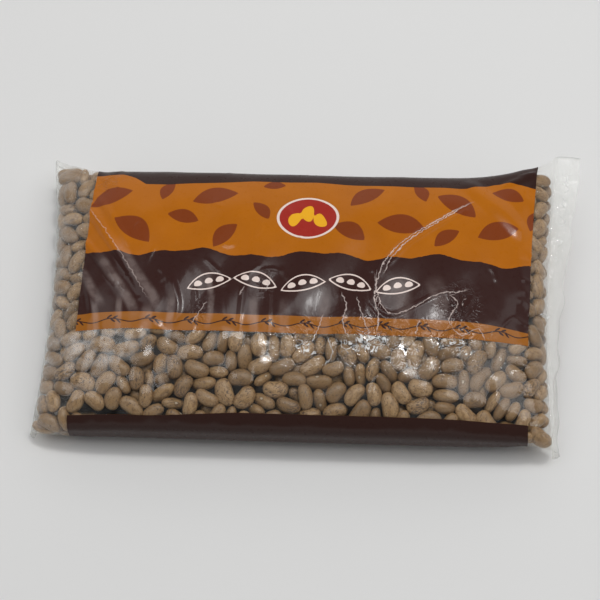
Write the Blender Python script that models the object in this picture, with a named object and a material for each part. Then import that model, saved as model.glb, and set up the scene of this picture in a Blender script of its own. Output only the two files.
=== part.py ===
"""A clear film bag of dried beans, lying flat with its printed face up.

The bag is a tube of film, sealed across at both ends and filled until it lies as a fat
pillow. It is one closed solid: the pillow, the fin of film past each seal, and the beans
that stand out where the film is clear, which is both ends and a window along the near side.
Metres, +X along the bag, +Y away from the window, +Z up, standing on z = 0.
"""
import math
import random

import bmesh
import bpy
import numpy as np
from mathutils import Matrix, Vector

# The filled bag
BAG_LENGTH = 0.260
FILM_WIDTH = 0.169
THICKNESS = 0.040
SHOULDER = {"left": 0.055, "right": 0.075}
SHOULDER_POWER = 2.6
UPPER_SHARE = 0.56
UPPER_POWER = 2.3
LOWER_POWER = 4.2
PRESSED_FLAT = 0.0012

# The bag has slumped towards its near side
BELLY_SHIFT = 0.0062

# How far the seals reach, near and far, as a share of the film's half width, and how far
# the filling has run into the near corners
SEAL_REACH = {"left": (0.925, 0.912), "right": (0.965, 0.994)}
CORNER_FILL = {"left": 0.9, "right": 0.3}

# The seals are bowed: their middles are drawn in and their corners stand out
MIDDLE_DRAWN_IN = {"left": 0.001, "right": 0.004}
CORNERS_OUT = {"left": 0.004, "right": 0.0}
BOW_RUN = 0.025

# The seals stand clear of the floor, higher at the far side, and lift the belly's ends
SEAL_HEIGHT = {"left": (0.006, 0.014), "right": (0.0115, 0.017)}
LIFT_RUN = {"left": 0.030, "right": 0.045}
LIFT_POWER = 2.2

# The fins past the seals, each given near and far: the left one curls under all along,
# the right one only at its near end
FIN_LENGTH = {"left": (0.006, 0.011), "right": (0.012, 0.013)}
FIN_START = {"left": (math.radians(60), math.radians(60)), "right": (math.radians(20), math.radians(-10))}
FIN_CURL = {"left": (math.radians(90), math.radians(90)), "right": (math.radians(140), math.radians(25))}
FIN_THICKNESS = 0.0012
FIN_STEPS = 4

# Slow lumps of the beans below the film
LUMP_HEIGHT = 0.0009
LUMP_PITCH = 0.058

# Where the film is printed, along the bag and across from its middle line
PRINT_ENDS = (-0.111, 0.119)
WINDOW = (-0.0772, -0.033)
CLEAR_EDGE = 0.003
RECESS = 0.0024

# One dried bean, and how close the showing ones lie
BEAN_LENGTH = 0.0130
BEAN_WIDTH = 0.0085
BEAN_HEIGHT = 0.0062
BEAN_BEND = 7.0
BEAN_SIDES = 6
BEAN_RINGS = 4
BEAN_SPACING = 0.0084
BEAN_END_GAP = 0.0045
SPREAD_TRIES = 9000
SEED = 11

# The faces of the pillow, and the steps in which an outline is measured
STATIONS = 41
TOP_STEPS = 20
OUTLINE_STEPS = 721

BEAN_COLOUR = (0.30, 0.22, 0.145, 1.0)
BEAN_ROUGHNESS = 0.42


def side_of(x):
    """The end of the bag that x belongs to."""
    return "left" if x < 0 else "right"


def thickness(x):
    """How thick the filled bag is at x, none at the seals."""
    inset = min((BAG_LENGTH / 2 - abs(x)) / SHOULDER[side_of(x)], 1)
    return THICKNESS * math.sqrt(max(1 - (1 - inset) ** SHOULDER_POWER, 0))


def lumps(x, y):
    """Slow ups and downs of the filling, between -1 and 1."""
    turn = 2 * math.pi / LUMP_PITCH
    return 0.6 * np.sin(turn * x + 1.4) * np.cos(0.8 * turn * y) + 0.4 * np.sin(1.7 * turn * x - turn * y)


def ramp(value):
    """0 below, 1 above, smooth between."""
    value = np.clip(value, 0, 1)
    return value * value * (3 - 2 * value)


def bowed(points):
    """The points moved along the bag as its bowed seals are, least far from them."""
    x, y, _ = points.T
    moved = points.copy()
    for side, outwards in (("left", -1), ("right", 1)):
        near, far = SEAL_REACH[side]
        across = np.clip(y / np.where(y < 0, near, far) / (FILM_WIDTH / 2), -1, 1)
        bow = (MIDDLE_DRAWN_IN[side] + CORNERS_OUT[side]) * across**2 - MIDDLE_DRAWN_IN[side]
        moved[:, 0] += outwards * bow * ramp(1 - (BAG_LENGTH / 2 - outwards * x) / BOW_RUN)
    return moved


def outline(x, turns):
    """Points round the bag at x: turns 0 is the top, a quarter the far edge, a half the bottom."""
    side = side_of(x)
    inset = BAG_LENGTH / 2 - abs(x)
    filled = thickness(x)
    height = max(filled, FIN_THICKNESS)
    to_seal = (1 - min(inset / SHOULDER[side], 1)) ** 2
    # A flat tube gives up this much width on each side as it fills
    taken = filled * (math.pi / 2 - 1) / 2
    half = FILM_WIDTH / 2
    near = half + BELLY_SHIFT + (half * (SEAL_REACH[side][0] - 1) - BELLY_SHIFT) * to_seal
    near -= taken * (1 - CORNER_FILL[side] * to_seal)
    far = half - BELLY_SHIFT + (half * (SEAL_REACH[side][1] - 1) + BELLY_SHIFT) * to_seal - taken

    angle = 2 * math.pi * np.asarray(turns)
    across = np.sin(angle)
    up = np.cos(angle)
    power = np.where(up >= 0, UPPER_POWER, LOWER_POWER)
    y = np.where(across >= 0, far, near) * np.sign(across) * np.abs(across) ** (2 / power)
    middle = (1 - UPPER_SHARE) * height
    pressed = PRESSED_FLAT * filled / THICKNESS
    reach = np.where(up >= 0, UPPER_SHARE * height, middle + pressed)
    z = np.maximum(middle + reach * np.sign(up) * np.abs(up) ** (2 / power), 0)
    z = z + LUMP_HEIGHT * filled / THICKNESS * np.clip(up, 0, 1) * lumps(x, y)

    lift = (1 - min(inset / LIFT_RUN[side], 1)) ** LIFT_POWER
    low, high = SEAL_HEIGHT[side]
    z = z + lift * (low + (high - low) * (y + near) / (near + far))
    return y, z


def measured_outline(x):
    """The outline from its top round both ways, with the film's length from its middle line.

    The film is as wide all along, so small folds take up what the outline falls short of it.
    """
    turns = np.linspace(-0.5, 0.5, OUTLINE_STEPS)
    y, z = outline(x, turns)
    film = np.concatenate([[0], np.cumsum(np.hypot(np.diff(y), np.diff(z)))])
    film = film * 2 * FILM_WIDTH / film[-1]
    return y, z, film - np.interp(0.0, turns, film)


def film_point(x, film):
    """The point of the film at x, this far along it from the middle line."""
    y, z, lengths = measured_outline(x)
    return Vector(bowed(np.array([[x, np.interp(film, lengths, y), np.interp(film, lengths, z)]]))[0])


def film_frame(x, film):
    """A point of the film, the two directions in it and its outward direction."""
    step = 0.001
    along = film_point(x + step, film) - film_point(x - step, film)
    across = film_point(x, film + step) - film_point(x, film - step)
    along.normalize()
    outward = along.cross(across).normalized()
    return film_point(x, film), along, outward.cross(along), outward


def clear_share(x, film):
    """1 where the film is clear, 0 where it is printed."""
    ends = np.maximum(ramp((PRINT_ENDS[0] - x) / CLEAR_EDGE), ramp((x - PRINT_ENDS[1]) / CLEAR_EDGE))
    window = ramp((film - WINDOW[0]) / CLEAR_EDGE) * ramp((WINDOW[1] - film) / CLEAR_EDGE)
    return np.maximum(ends, window)


def ring_turns():
    """Turns of one ring's points, from the near edge over the top to the far edge and back below."""
    top = np.linspace(-0.25, 0.25, TOP_STEPS + 1)
    below = np.linspace(0.25, 0.75, TOP_STEPS + 1)[1:-1]
    return np.concatenate([top, below])


def even_turns(x):
    """Ring turns moved so that the points lie evenly along the film, above and below."""
    fine = np.linspace(-0.25, 0.75, OUTLINE_STEPS)
    y, z = outline(x, fine)
    film = np.concatenate([[0], np.cumsum(np.hypot(np.diff(y), np.diff(z)))])
    half = np.interp(0.25, fine, film)
    wanted = ring_turns()
    above = wanted <= 0.25
    length = np.where(above, (wanted + 0.25) * 2 * half, half + (wanted - 0.25) * 2 * (film[-1] - half))
    return np.interp(length, film, fine)


def body_rings():
    """Rings of the pillow from the left seal to the right one, as points and film lengths."""
    xs = BAG_LENGTH / 2 * np.sin(np.linspace(-math.pi / 2, math.pi / 2, STATIONS))
    points = []
    films = []
    for x in xs:
        turns = even_turns(x)
        y, z = outline(x, turns)
        points.append(np.stack([np.full(len(y), x), y, z], axis=1))
        _, _, lengths = measured_outline(x)
        around = np.linspace(-0.5, 0.5, OUTLINE_STEPS)
        films.append(np.interp(np.where(turns > 0.5, turns - 1, turns), around, lengths))
    return np.array(points), np.array(films)


def sink_clear_parts(points, films):
    """The pillow lowered under the clear film, so that the beans stand out of it."""
    along = np.gradient(points, axis=0)
    across = np.roll(points, -1, axis=1) - np.roll(points, 1, axis=1)
    outward = np.cross(along, across)
    outward /= np.maximum(np.linalg.norm(outward, axis=2, keepdims=True), 1e-12)
    share = clear_share(points[..., 0], films)
    share = share * ramp(outward[..., 2] / 0.3)
    share = share * ramp((BAG_LENGTH / 2 - np.abs(points[..., 0])) / 0.006)
    return points - outward * (RECESS * share)[..., None]


def fin_rings(seal_ring, side):
    """Rings that carry the flat ring at a seal out along its curling fin."""
    outwards = -1 if side == "left" else 1
    y = seal_ring[:, 1]
    share = (y - y.min()) / (y.max() - y.min())
    start = FIN_START[side][0] + (FIN_START[side][1] - FIN_START[side][0]) * share
    curl = FIN_CURL[side][0] + (FIN_CURL[side][1] - FIN_CURL[side][0]) * share
    radius = (FIN_LENGTH[side][0] + (FIN_LENGTH[side][1] - FIN_LENGTH[side][0]) * share) / curl
    # The ring's points stand above and below its middle line by half the fin's thickness
    middle = np.interp(y, [y.min(), y.max()], [seal_ring[y.argmin(), 2], seal_ring[y.argmax(), 2]])
    offset = seal_ring[:, 2] - middle
    rings = []
    for step in range(1, FIN_STEPS + 1):
        angle = start + curl * step / FIN_STEPS
        out = radius * (np.sin(angle) - np.sin(start)) + offset * np.sin(angle)
        rise = radius * (np.cos(angle) - np.cos(start)) + offset * np.cos(angle)
        rings.append(np.stack([seal_ring[:, 0] + outwards * out, y, middle + rise], axis=1))
    return rings


def pillow_mesh():
    """The pillow and its fins as one closed mesh."""
    points, films = body_rings()
    points = sink_clear_parts(points, films)
    left = fin_rings(points[0], "left")
    right = fin_rings(points[-1], "right")
    rings = [bowed(ring) for ring in left[::-1] + list(points) + right]

    mesh = bpy.data.meshes.new("pillow")
    shape = bmesh.new()
    grid = []
    for ring in rings:
        grid.append([shape.verts.new(point) for point in ring])
    count = len(grid[0])
    for one, two in zip(grid[:-1], grid[1:]):
        for j in range(count):
            k = (j + 1) % count
            shape.faces.new((one[j], two[j], two[k], one[k]))
    for end in (grid[0], grid[-1]):
        close_fin(shape, end)
    bmesh.ops.recalc_face_normals(shape, faces=shape.faces)
    shape.to_mesh(mesh)
    shape.free()
    return mesh


def close_fin(shape, ring):
    """Faces across a fin's tip, between its upper and lower points."""
    last = len(ring)
    for j in range(TOP_STEPS):
        corners = [ring[j], ring[j + 1], ring[(last - j - 1) % last], ring[(last - j) % last]]
        distinct = []
        for corner in corners:
            if corner not in distinct:
                distinct.append(corner)
        shape.faces.new(distinct)


def bean_mesh():
    """One bean with few sides, bent a little to one side like a kidney."""
    mesh = bpy.data.meshes.new("bean")
    shape = bmesh.new()
    bmesh.ops.create_uvsphere(shape, u_segments=BEAN_SIDES, v_segments=BEAN_RINGS, radius=1)
    # The poles lie along the bean
    bmesh.ops.rotate(shape, verts=shape.verts, matrix=Matrix.Rotation(math.pi / 2, 3, "Y"))
    for vert in shape.verts:
        x = vert.co.x * BEAN_LENGTH / 2
        y = vert.co.y * BEAN_WIDTH / 2 - BEAN_BEND * x * x
        vert.co = (x, y, vert.co.z * BEAN_HEIGHT / 2)
    bmesh.ops.triangulate(shape, faces=shape.faces)
    shape.to_mesh(mesh)
    shape.free()
    return mesh


def bean_places(rng):
    """Places on the clear film, spread evenly and at random."""
    half_film = FILM_WIDTH / 2
    end = BAG_LENGTH / 2 - BEAN_END_GAP
    places = []
    points = []
    for _ in range(SPREAD_TRIES):
        x = rng.uniform(-end, end)
        film = rng.uniform(-half_film, half_film)
        if clear_share(x, film) < 0.5:
            continue
        point = film_point(x, film)
        if all((point - other).length > BEAN_SPACING for other in points):
            places.append((x, film))
            points.append(point)
    return places


def add_beans(collection, rng):
    """The beans that show through the clear film, just under it."""
    mesh = bean_mesh()
    for number, (x, film) in enumerate(bean_places(rng)):
        point, along, across, outward = film_frame(x, film)
        size = rng.uniform(0.92, 1.06)
        turn = Matrix.Rotation(rng.uniform(0, 2 * math.pi), 3, "Z")
        tilt = Matrix.Rotation(math.radians(rng.uniform(-18, 18)), 3, "Y")
        frame = Matrix((along, across, outward)).transposed() @ turn @ tilt
        bean = bpy.data.objects.new("bean_%03d" % number, mesh)
        centre = point - outward * (BEAN_HEIGHT / 2 * size)
        bean.matrix_world = Matrix.Translation(centre) @ frame.to_4x4() @ Matrix.Scale(size, 4)
        collection.objects.link(bean)


def islands(shape):
    """The separate groups of joined faces in a mesh."""
    left = set(shape.faces)
    groups = []
    while left:
        first = left.pop()
        group = [first]
        for face in group:
            for edge in face.edges:
                for other in edge.link_faces:
                    if other in left:
                        left.remove(other)
                        group.append(other)
        groups.append(group)
    return groups


def keep_outer_skin(mesh):
    """Only the largest group of faces, without sealed hollows or loose scraps."""
    shape = bmesh.new()
    shape.from_mesh(mesh)
    groups = sorted(islands(shape), key=len)
    scraps = [face for group in groups[:-1] for face in group]
    bmesh.ops.delete(shape, geom=scraps, context="FACES")
    bmesh.ops.triangulate(shape, faces=shape.faces)
    shape.to_mesh(mesh)
    shape.free()


def stand_on_origin(mesh):
    """The mesh moved so that the middle of its box's underside is the origin."""
    corners = np.empty(len(mesh.vertices) * 3)
    mesh.vertices.foreach_get("co", corners)
    corners = corners.reshape(-1, 3)
    low = corners.min(axis=0)
    high = corners.max(axis=0)
    mesh.transform(Matrix.Translation((-(low[0] + high[0]) / 2, -(low[1] + high[1]) / 2, -low[2])))


def bean_material():
    """Dried beans, dull and pale brown."""
    material = bpy.data.materials.new("dried_beans")
    material.use_nodes = True
    shader = material.node_tree.nodes["Principled BSDF"]
    shader.inputs["Base Color"].default_value = BEAN_COLOUR
    shader.inputs["Roughness"].default_value = BEAN_ROUGHNESS
    shader.inputs["Metallic"].default_value = 0.0
    return material


def build_bag():
    """The pillow with its showing beans fused on."""
    bag = bpy.data.objects.new("bag_of_beans", pillow_mesh())
    bpy.context.scene.collection.objects.link(bag)
    beans = bpy.data.collections.new("showing_beans")
    bpy.context.scene.collection.children.link(beans)
    add_beans(beans, random.Random(SEED))

    union = bag.modifiers.new("fuse_beans", "BOOLEAN")
    union.operation = "UNION"
    union.operand_type = "COLLECTION"
    union.collection = beans
    union.solver = "EXACT"
    seen = bag.evaluated_get(bpy.context.evaluated_depsgraph_get())
    fused = bpy.data.meshes.new_from_object(seen)
    bag.modifiers.remove(union)
    bag.data = fused
    for bean in list(beans.objects):
        bpy.data.objects.remove(bean)
    bpy.data.collections.remove(beans)

    keep_outer_skin(fused)
    stand_on_origin(fused)
    fused.materials.clear()
    fused.materials.append(bean_material())
    return bag


def main():
    for old in list(bpy.data.objects):
        bpy.data.objects.remove(old)
    build_bag()


main()
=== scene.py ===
"""The looks of a clear film bag of dried beans, lying flat with its printed face up.

The bag is remade over its solid as what it is: loose beans packed against the film from inside,
a darker heap behind them, and one tube of film drawn taut over the beans, creased, printed in
fields of orange and dark brown, clear at both ends and in a window along the near side, and
sealed into a fin at each end. Metres, +X along the bag, +Y away from the window, +Z up.
"""
import functools
import math

import bpy
import numpy as np
from bpy.props import FloatProperty, FloatVectorProperty, IntProperty, PointerProperty
from bpy.types import Operator, Panel, PropertyGroup
from mathutils import Matrix, Vector
from mathutils.bvhtree import BVHTree
from mathutils.kdtree import KDTree


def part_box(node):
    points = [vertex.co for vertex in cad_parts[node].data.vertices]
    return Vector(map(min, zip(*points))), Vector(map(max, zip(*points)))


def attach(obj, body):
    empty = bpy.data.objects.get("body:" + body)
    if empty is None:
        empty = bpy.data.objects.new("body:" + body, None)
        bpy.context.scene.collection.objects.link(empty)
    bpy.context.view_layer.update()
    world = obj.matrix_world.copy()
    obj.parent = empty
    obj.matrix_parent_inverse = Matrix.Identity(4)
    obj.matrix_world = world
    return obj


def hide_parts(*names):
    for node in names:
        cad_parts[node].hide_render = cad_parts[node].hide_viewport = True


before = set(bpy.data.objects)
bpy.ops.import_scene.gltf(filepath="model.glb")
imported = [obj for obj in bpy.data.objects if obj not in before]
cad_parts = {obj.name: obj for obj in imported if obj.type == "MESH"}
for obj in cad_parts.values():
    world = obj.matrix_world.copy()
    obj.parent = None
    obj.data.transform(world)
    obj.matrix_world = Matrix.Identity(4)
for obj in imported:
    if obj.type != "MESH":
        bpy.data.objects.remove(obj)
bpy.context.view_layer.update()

bl_info = {
    "name": "Bag of dried beans",
    "version": (1, 0, 0),
    "blender": (4, 5, 0),
    "location": "3D View > Sidebar > Beans",
    "description": "A clear film bag of dried beans with a printed face, and the studio around it",
    "category": "Add Mesh",
}

BAG_NODE = "bag_of_beans"
BODY = "root"
MM = 0.001

# How the filled film tube bulges between its seals
SHOULDER = {"left": 0.055, "right": 0.075}
SHOULDER_POWER = 2.6
UPPER_SHARE = 0.56
UPPER_POWER = 2.3
LOWER_POWER = 4.2
PRESSED_FLAT = 0.0012
BELLY_SHIFT = 0.0062
CORNER_FILL = {"left": 0.9, "right": 0.3}
LIFT_RUN = {"left": 0.030, "right": 0.045}
LIFT_POWER = 2.2
LUMP_HEIGHT = 0.0009
LUMP_PITCH = 0.058
OUTLINE_STEPS = 721

# The seals, near and far: how far they reach as a share of the film's half width, and how high they lie
SEAL_REACH = {"left": (0.925, 0.912), "right": (0.965, 0.994)}
SEAL_HEIGHT = {"left": (0.006, 0.014), "right": (0.0115, 0.017)}

# The seals are bowed: their middles are drawn in and their corners stand out
MIDDLE_DRAWN_IN = {"left": 0.001, "right": 0.004}
CORNERS_OUT = {"left": 0.004, "right": 0.0}
BOW_RUN = 0.025

# The fins past the seals, each given near and far
FIN_LENGTH = {"left": (0.006, 0.011), "right": (0.012, 0.013)}
FIN_START = {"left": (math.radians(60), math.radians(60)), "right": (math.radians(20), math.radians(-10))}
FIN_CURL = {"left": (math.radians(90), math.radians(90)), "right": (math.radians(140), math.radians(25))}
SOLID_FIN_THICKNESS = 0.0012
FILM_GAP = 0.00016

# Where the film is printed, along the bag and across from its middle line
PRINT_ENDS = (-0.111, 0.119)
WINDOW = (-0.0752, -0.033)
STRIP_EDGES = (-0.0752, 0.0605)
PRINT_SLANT = 0.03
WINDOW_DIP = 0.0028
BACK_STRIPS = 0.108

# Beans packed against the film: six balls stand for each while they settle
BALL_PLACES = ((-3.5, 0.0), (3.5, 0.0), (-1.3, -1.2), (-1.3, 1.2), (1.3, -1.2), (1.3, 1.2))
BALL_RADIUS = 2.95
BALL_BEAN_LENGTH = 12.9
SETTLE_STEPS = 170
SETTLE_PULL = 0.00012
SHELL_DEPTH = (0.003, 0.0165)
ROUND_ENDS = 0.088
UPPER_FILM = 0.096
PACKED_VOLUME = 5.6e-7
NEIGHBOUR_REACH = 0.0148
LYING_SHARE = 0.75
LYING_TILT = 0.3
LEAST_COVER = 0.0012
FLOOR_GAP = 0.0005
EMPTY_CORNER = (0.116, 0.067)
TUCKED_REACH = 0.016
TUCKED_LIFT = 0.0016
TUCKED_COVER = 0.0001
TUCKING_STEP = 0.00035
TUCKING_STEPS = 9
GAP_ROUNDS = 4
GAP_STEPS = 60
GAP_TRIES = 60000
GAP_DEPTH = (0.0026, 0.0075)
GAP_ROOM = 0.0052
GAP_SPACING = 0.0085
SEED = 5


def by_side(x, values):
    """What holds at the end of the bag that each x belongs to: one value, or a near and a far one."""
    left = np.asarray(x) < 0
    if isinstance(values["left"], tuple):
        return [np.where(left, one, two) for one, two in zip(values["left"], values["right"])]
    return np.where(left, values["left"], values["right"])


def ramp(value):
    """0 below, 1 above, smooth between."""
    value = np.clip(value, 0, 1)
    return value * value * (3 - 2 * value)


def lumps(x, y):
    """Slow ups and downs of the filling, between -1 and 1."""
    turn = 2 * math.pi / LUMP_PITCH
    return 0.6 * np.sin(turn * x + 1.4) * np.cos(0.8 * turn * y) + 0.4 * np.sin(1.7 * turn * x - turn * y)


class Pillow:
    """The filled film tube, by its length, its flat width and its thickness."""

    def __init__(self, form):
        self.length = form.length
        self.film_width = form.film_width
        self.thick = form.thickness

    def inset(self, x):
        """How far x is from the nearest seal."""
        return self.length / 2 - np.abs(x)

    def filled(self, x):
        """How thick the filled bag is at x, none at the seals."""
        inset = np.clip(self.inset(x) / by_side(x, SHOULDER), 0, 1)
        return self.thick * np.sqrt(np.clip(1 - (1 - inset) ** SHOULDER_POWER, 0, 1))

    def reaches(self, x):
        """How far the bag reaches from its middle line, near and far."""
        to_seal = (1 - np.clip(self.inset(x) / by_side(x, SHOULDER), 0, 1)) ** 2
        taken = self.filled(x) * (math.pi / 2 - 1) / 2
        near_share, far_share = by_side(x, SEAL_REACH)
        half = self.film_width / 2
        near = half + BELLY_SHIFT + (half * (near_share - 1) - BELLY_SHIFT) * to_seal
        near = near - taken * (1 - by_side(x, CORNER_FILL) * to_seal)
        far = half - BELLY_SHIFT + (half * (far_share - 1) + BELLY_SHIFT) * to_seal - taken
        return near, far

    def bow(self, x, y):
        """How far the bowed seals move the bag along, least far from them."""
        outwards = np.where(x < 0, -1, 1)
        near_share, far_share = by_side(x, SEAL_REACH)
        across = np.clip(y / np.where(y < 0, near_share, far_share) / (self.film_width / 2), -1, 1)
        drawn_in = by_side(x, MIDDLE_DRAWN_IN)
        bow = (drawn_in + by_side(x, CORNERS_OUT)) * across**2 - drawn_in
        return outwards * bow * ramp(1 - self.inset(x) / BOW_RUN)

    def bowed(self, points):
        """The straight form's points moved as the seals are bowed."""
        moved = points.copy()
        moved[..., 0] += self.bow(points[..., 0], points[..., 1])
        return moved

    def unbowed(self, points):
        """Where points of the bowed form lie in the straight one."""
        moved = points.copy()
        for _ in range(2):
            moved[..., 0] = points[..., 0] - self.bow(moved[..., 0], points[..., 1])
        return moved

    def base(self, x, y, near, far):
        """How far the underside is lifted towards the seals."""
        lift = (1 - np.clip(self.inset(x) / by_side(x, LIFT_RUN), 0, 1)) ** LIFT_POWER
        low, high = by_side(x, SEAL_HEIGHT)
        return lift * (low + (high - low) * (y + near) / (near + far))

    def outline(self, x, turns):
        """Points round the bag at x: turns 0 is the top, a quarter the far edge, a half the bottom."""
        filled = self.filled(x)
        height = max(filled, FILM_GAP)
        near, far = self.reaches(x)
        angle = 2 * math.pi * turns
        across = np.sin(angle)
        up = np.cos(angle)
        power = np.where(up >= 0, UPPER_POWER, LOWER_POWER)
        y = np.where(across >= 0, far, near) * np.sign(across) * np.abs(across) ** (2 / power)
        middle = (1 - UPPER_SHARE) * height
        pressed = PRESSED_FLAT * filled / self.thick
        reach = np.where(up >= 0, UPPER_SHARE * height, middle + pressed)
        z = np.maximum(middle + reach * np.sign(up) * np.abs(up) ** (2 / power), 0)
        z = z + LUMP_HEIGHT * filled / self.thick * np.clip(up, 0, 1) * lumps(x, y)
        return y, z + self.base(x, y, near, far)

    def ring(self, x, films):
        """Points of the straight form's film at x, at these distances along it from its middle line."""
        turns = np.linspace(-0.5, 0.5, OUTLINE_STEPS)
        y, z = self.outline(x, turns)
        lengths = np.concatenate([[0], np.cumsum(np.hypot(np.diff(y), np.diff(z)))])
        lengths = lengths * 2 * self.film_width / lengths[-1]
        lengths = lengths - np.interp(0.0, turns, lengths)
        film = (films - lengths[0]) % (2 * self.film_width) + lengths[0]
        return np.stack([np.full(len(films), x), np.interp(film, lengths, y), np.interp(film, lengths, z)], axis=1)

    def share(self, points):
        """Where the straight form's points lie between the filling's middle, 0, and the film, 1."""
        x, y, z = points.T
        filled = np.maximum(self.filled(x), MM / 10)
        near, far = self.reaches(x)
        z = z - self.base(x, y, near, far)
        middle = (1 - UPPER_SHARE) * filled
        up = z > middle
        rise = np.clip((z - middle) / (UPPER_SHARE * filled), 0, 1)
        z = z - LUMP_HEIGHT * filled / self.thick * rise * lumps(x, y)
        power = np.where(up, UPPER_POWER, LOWER_POWER)
        reach = np.where(up, UPPER_SHARE * filled, middle + PRESSED_FLAT * filled / self.thick)
        side = np.where(y > 0, far, near)
        total = (np.abs(y) / side) ** power + (np.abs(z - middle) / reach) ** power
        return total ** (1 / power)

    def depth(self, points):
        """How deep points lie under the film, and the way out to it."""
        step = MM / 4
        points = self.unbowed(points)
        here = self.share(points)
        slope = np.empty_like(points)
        for axis in range(3):
            moved = points.copy()
            moved[:, axis] += step
            slope[:, axis] = (self.share(moved) - here) / step
        steep = np.maximum(np.linalg.norm(slope, axis=1), 1e-6)
        return (1 - here) / steep, slope / steep[:, None]


def frame_shift(form):
    """How far the form is moved so that its box's middle is the frame's origin."""
    last = FIN_START["right"][1] + FIN_CURL["right"][1]
    radius = FIN_LENGTH["right"][1] / FIN_CURL["right"][1]
    reach = radius * (math.sin(last) - math.sin(FIN_START["right"][1]))
    right = form.length / 2 + reach + SOLID_FIN_THICKNESS / 2 * math.sin(last)
    far = form.film_width / 2 * SEAL_REACH["right"][1]
    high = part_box(BAG_NODE)[1]
    return np.array([high[0] - right, high[1] - far, 0.0])


def random_turns(rng, count):
    """Rotation matrices that point anywhere."""
    q = rng.normal(size=(count, 4))
    q /= np.linalg.norm(q, axis=1, keepdims=True)
    w, x, y, z = q.T
    rows = [
        [1 - 2 * (y * y + z * z), 2 * (x * y - w * z), 2 * (x * z + w * y)],
        [2 * (x * y + w * z), 1 - 2 * (x * x + z * z), 2 * (y * z - w * x)],
        [2 * (x * z - w * y), 2 * (y * z + w * x), 1 - 2 * (x * x + y * y)],
    ]
    return np.array(rows).transpose(2, 0, 1)


def near_pairs(centres):
    """Pairs of beans close enough to touch."""
    gaps = centres[:, None, :] - centres[None, :, :]
    close = np.einsum("ijk,ijk->ij", gaps, gaps) < NEIGHBOUR_REACH**2
    return np.nonzero(np.triu(close, 1))


def pushed_apart(balls, radii, pairs):
    """How far each ball moves so that beans stop sharing space."""
    one, two = pairs
    gaps = balls[one][:, :, None, :] - balls[two][:, None, :, :]
    far = np.maximum(np.linalg.norm(gaps, axis=3), 1e-7)
    over = np.clip(radii[one][:, None, None] + radii[two][:, None, None] - far, 0, None)
    push = gaps * (over / far * 0.5)[..., None]
    moves = np.zeros_like(balls)
    np.add.at(moves, one, push.sum(axis=2))
    np.add.at(moves, two, -push.sum(axis=1))
    return moves


def fitted(goals, rest):
    """The rigid turn and place that bring each bean's balls nearest to their goals."""
    centres = goals.mean(axis=1)
    spread = np.einsum("nij,nik->njk", goals - centres[:, None, :], rest)
    u, _, vt = np.linalg.svd(spread)
    flip = np.linalg.det(u) * np.linalg.det(vt)
    u[:, :, 2] *= flip[:, None]
    return centres, u @ vt


def lying_turns(rng, outward):
    """Rotation matrices of beans that lie flat against the film, turned any way in its plane."""
    count = len(outward)
    turns = random_turns(rng, count)
    flat = rng.random(count) < LYING_SHARE
    short = outward + LYING_TILT * rng.normal(size=(count, 3))
    short /= np.linalg.norm(short, axis=1, keepdims=True)
    along = np.cross(short, rng.normal(size=(count, 3)))
    along /= np.linalg.norm(along, axis=1, keepdims=True)
    lying = np.stack([along, np.cross(short, along), short], axis=2)
    turns[flat] = lying[flat]
    return turns


def bean_balls(centres, turns, rest):
    """The places of the balls that stand for each bean."""
    return centres[:, None, :] + np.einsum("nij,nkj->nki", turns, rest)


def settle(pillow, centres, turns, sizes, steps):
    """Pushes beans apart, keeps them inside the film and draws them out against it."""
    places = np.array([(x, y, 0.0) for x, y in BALL_PLACES]) * MM
    rest = places[None] * sizes[:, None, None]
    radii = BALL_RADIUS * MM * sizes
    each = np.repeat(radii, len(places))
    for step in range(steps):
        if step % 8 == 0:
            pairs = near_pairs(centres)
        balls = bean_balls(centres, turns, rest)
        goals = balls + 0.75 * pushed_apart(balls, radii, pairs)
        flat = goals.reshape(-1, 3)
        deep, outward = pillow.depth(flat)
        short = np.clip(each - deep, 0, 2 * MM)
        pull = SETTLE_PULL * max(1 - step / (0.8 * steps), 0)
        flat = flat - outward * (short - pull)[:, None]
        flat[:, 2] = np.maximum(flat[:, 2], each + FLOOR_GAP)
        centres, turns = fitted(flat.reshape(goals.shape), rest)
    return centres, turns, bean_balls(centres, turns, rest)


def free_places(rng, pillow, balls, box):
    """Places in the outer shell with room for one more bean each."""
    tries = box[0] + rng.random((GAP_TRIES, 3)) * (box[1] - box[0])
    tries = tries[wanted_places(pillow, tries, GAP_DEPTH)]
    tree = KDTree(balls.shape[0] * balls.shape[1])
    for number, ball in enumerate(balls.reshape(-1, 3)):
        tree.insert(ball, number)
    tree.balance()
    room = np.array([tree.find(point)[2] for point in tries])
    found = []
    for index in np.argsort(-room):
        if room[index] < GAP_ROOM:
            break
        if all(np.linalg.norm(tries[index] - other) > GAP_SPACING for other in found):
            found.append(tries[index])
    return np.array(found).reshape(-1, 3)


def wanted_places(pillow, points, depths):
    """True where a bean may show: in this range of depths, on the upper side or near an end."""
    deep, outward = pillow.depth(points)
    wanted = (deep > depths[0]) & (deep < depths[1])
    return wanted & ((outward[:, 2] > -0.35) | (np.abs(points[:, 0]) > ROUND_ENDS))


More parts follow.
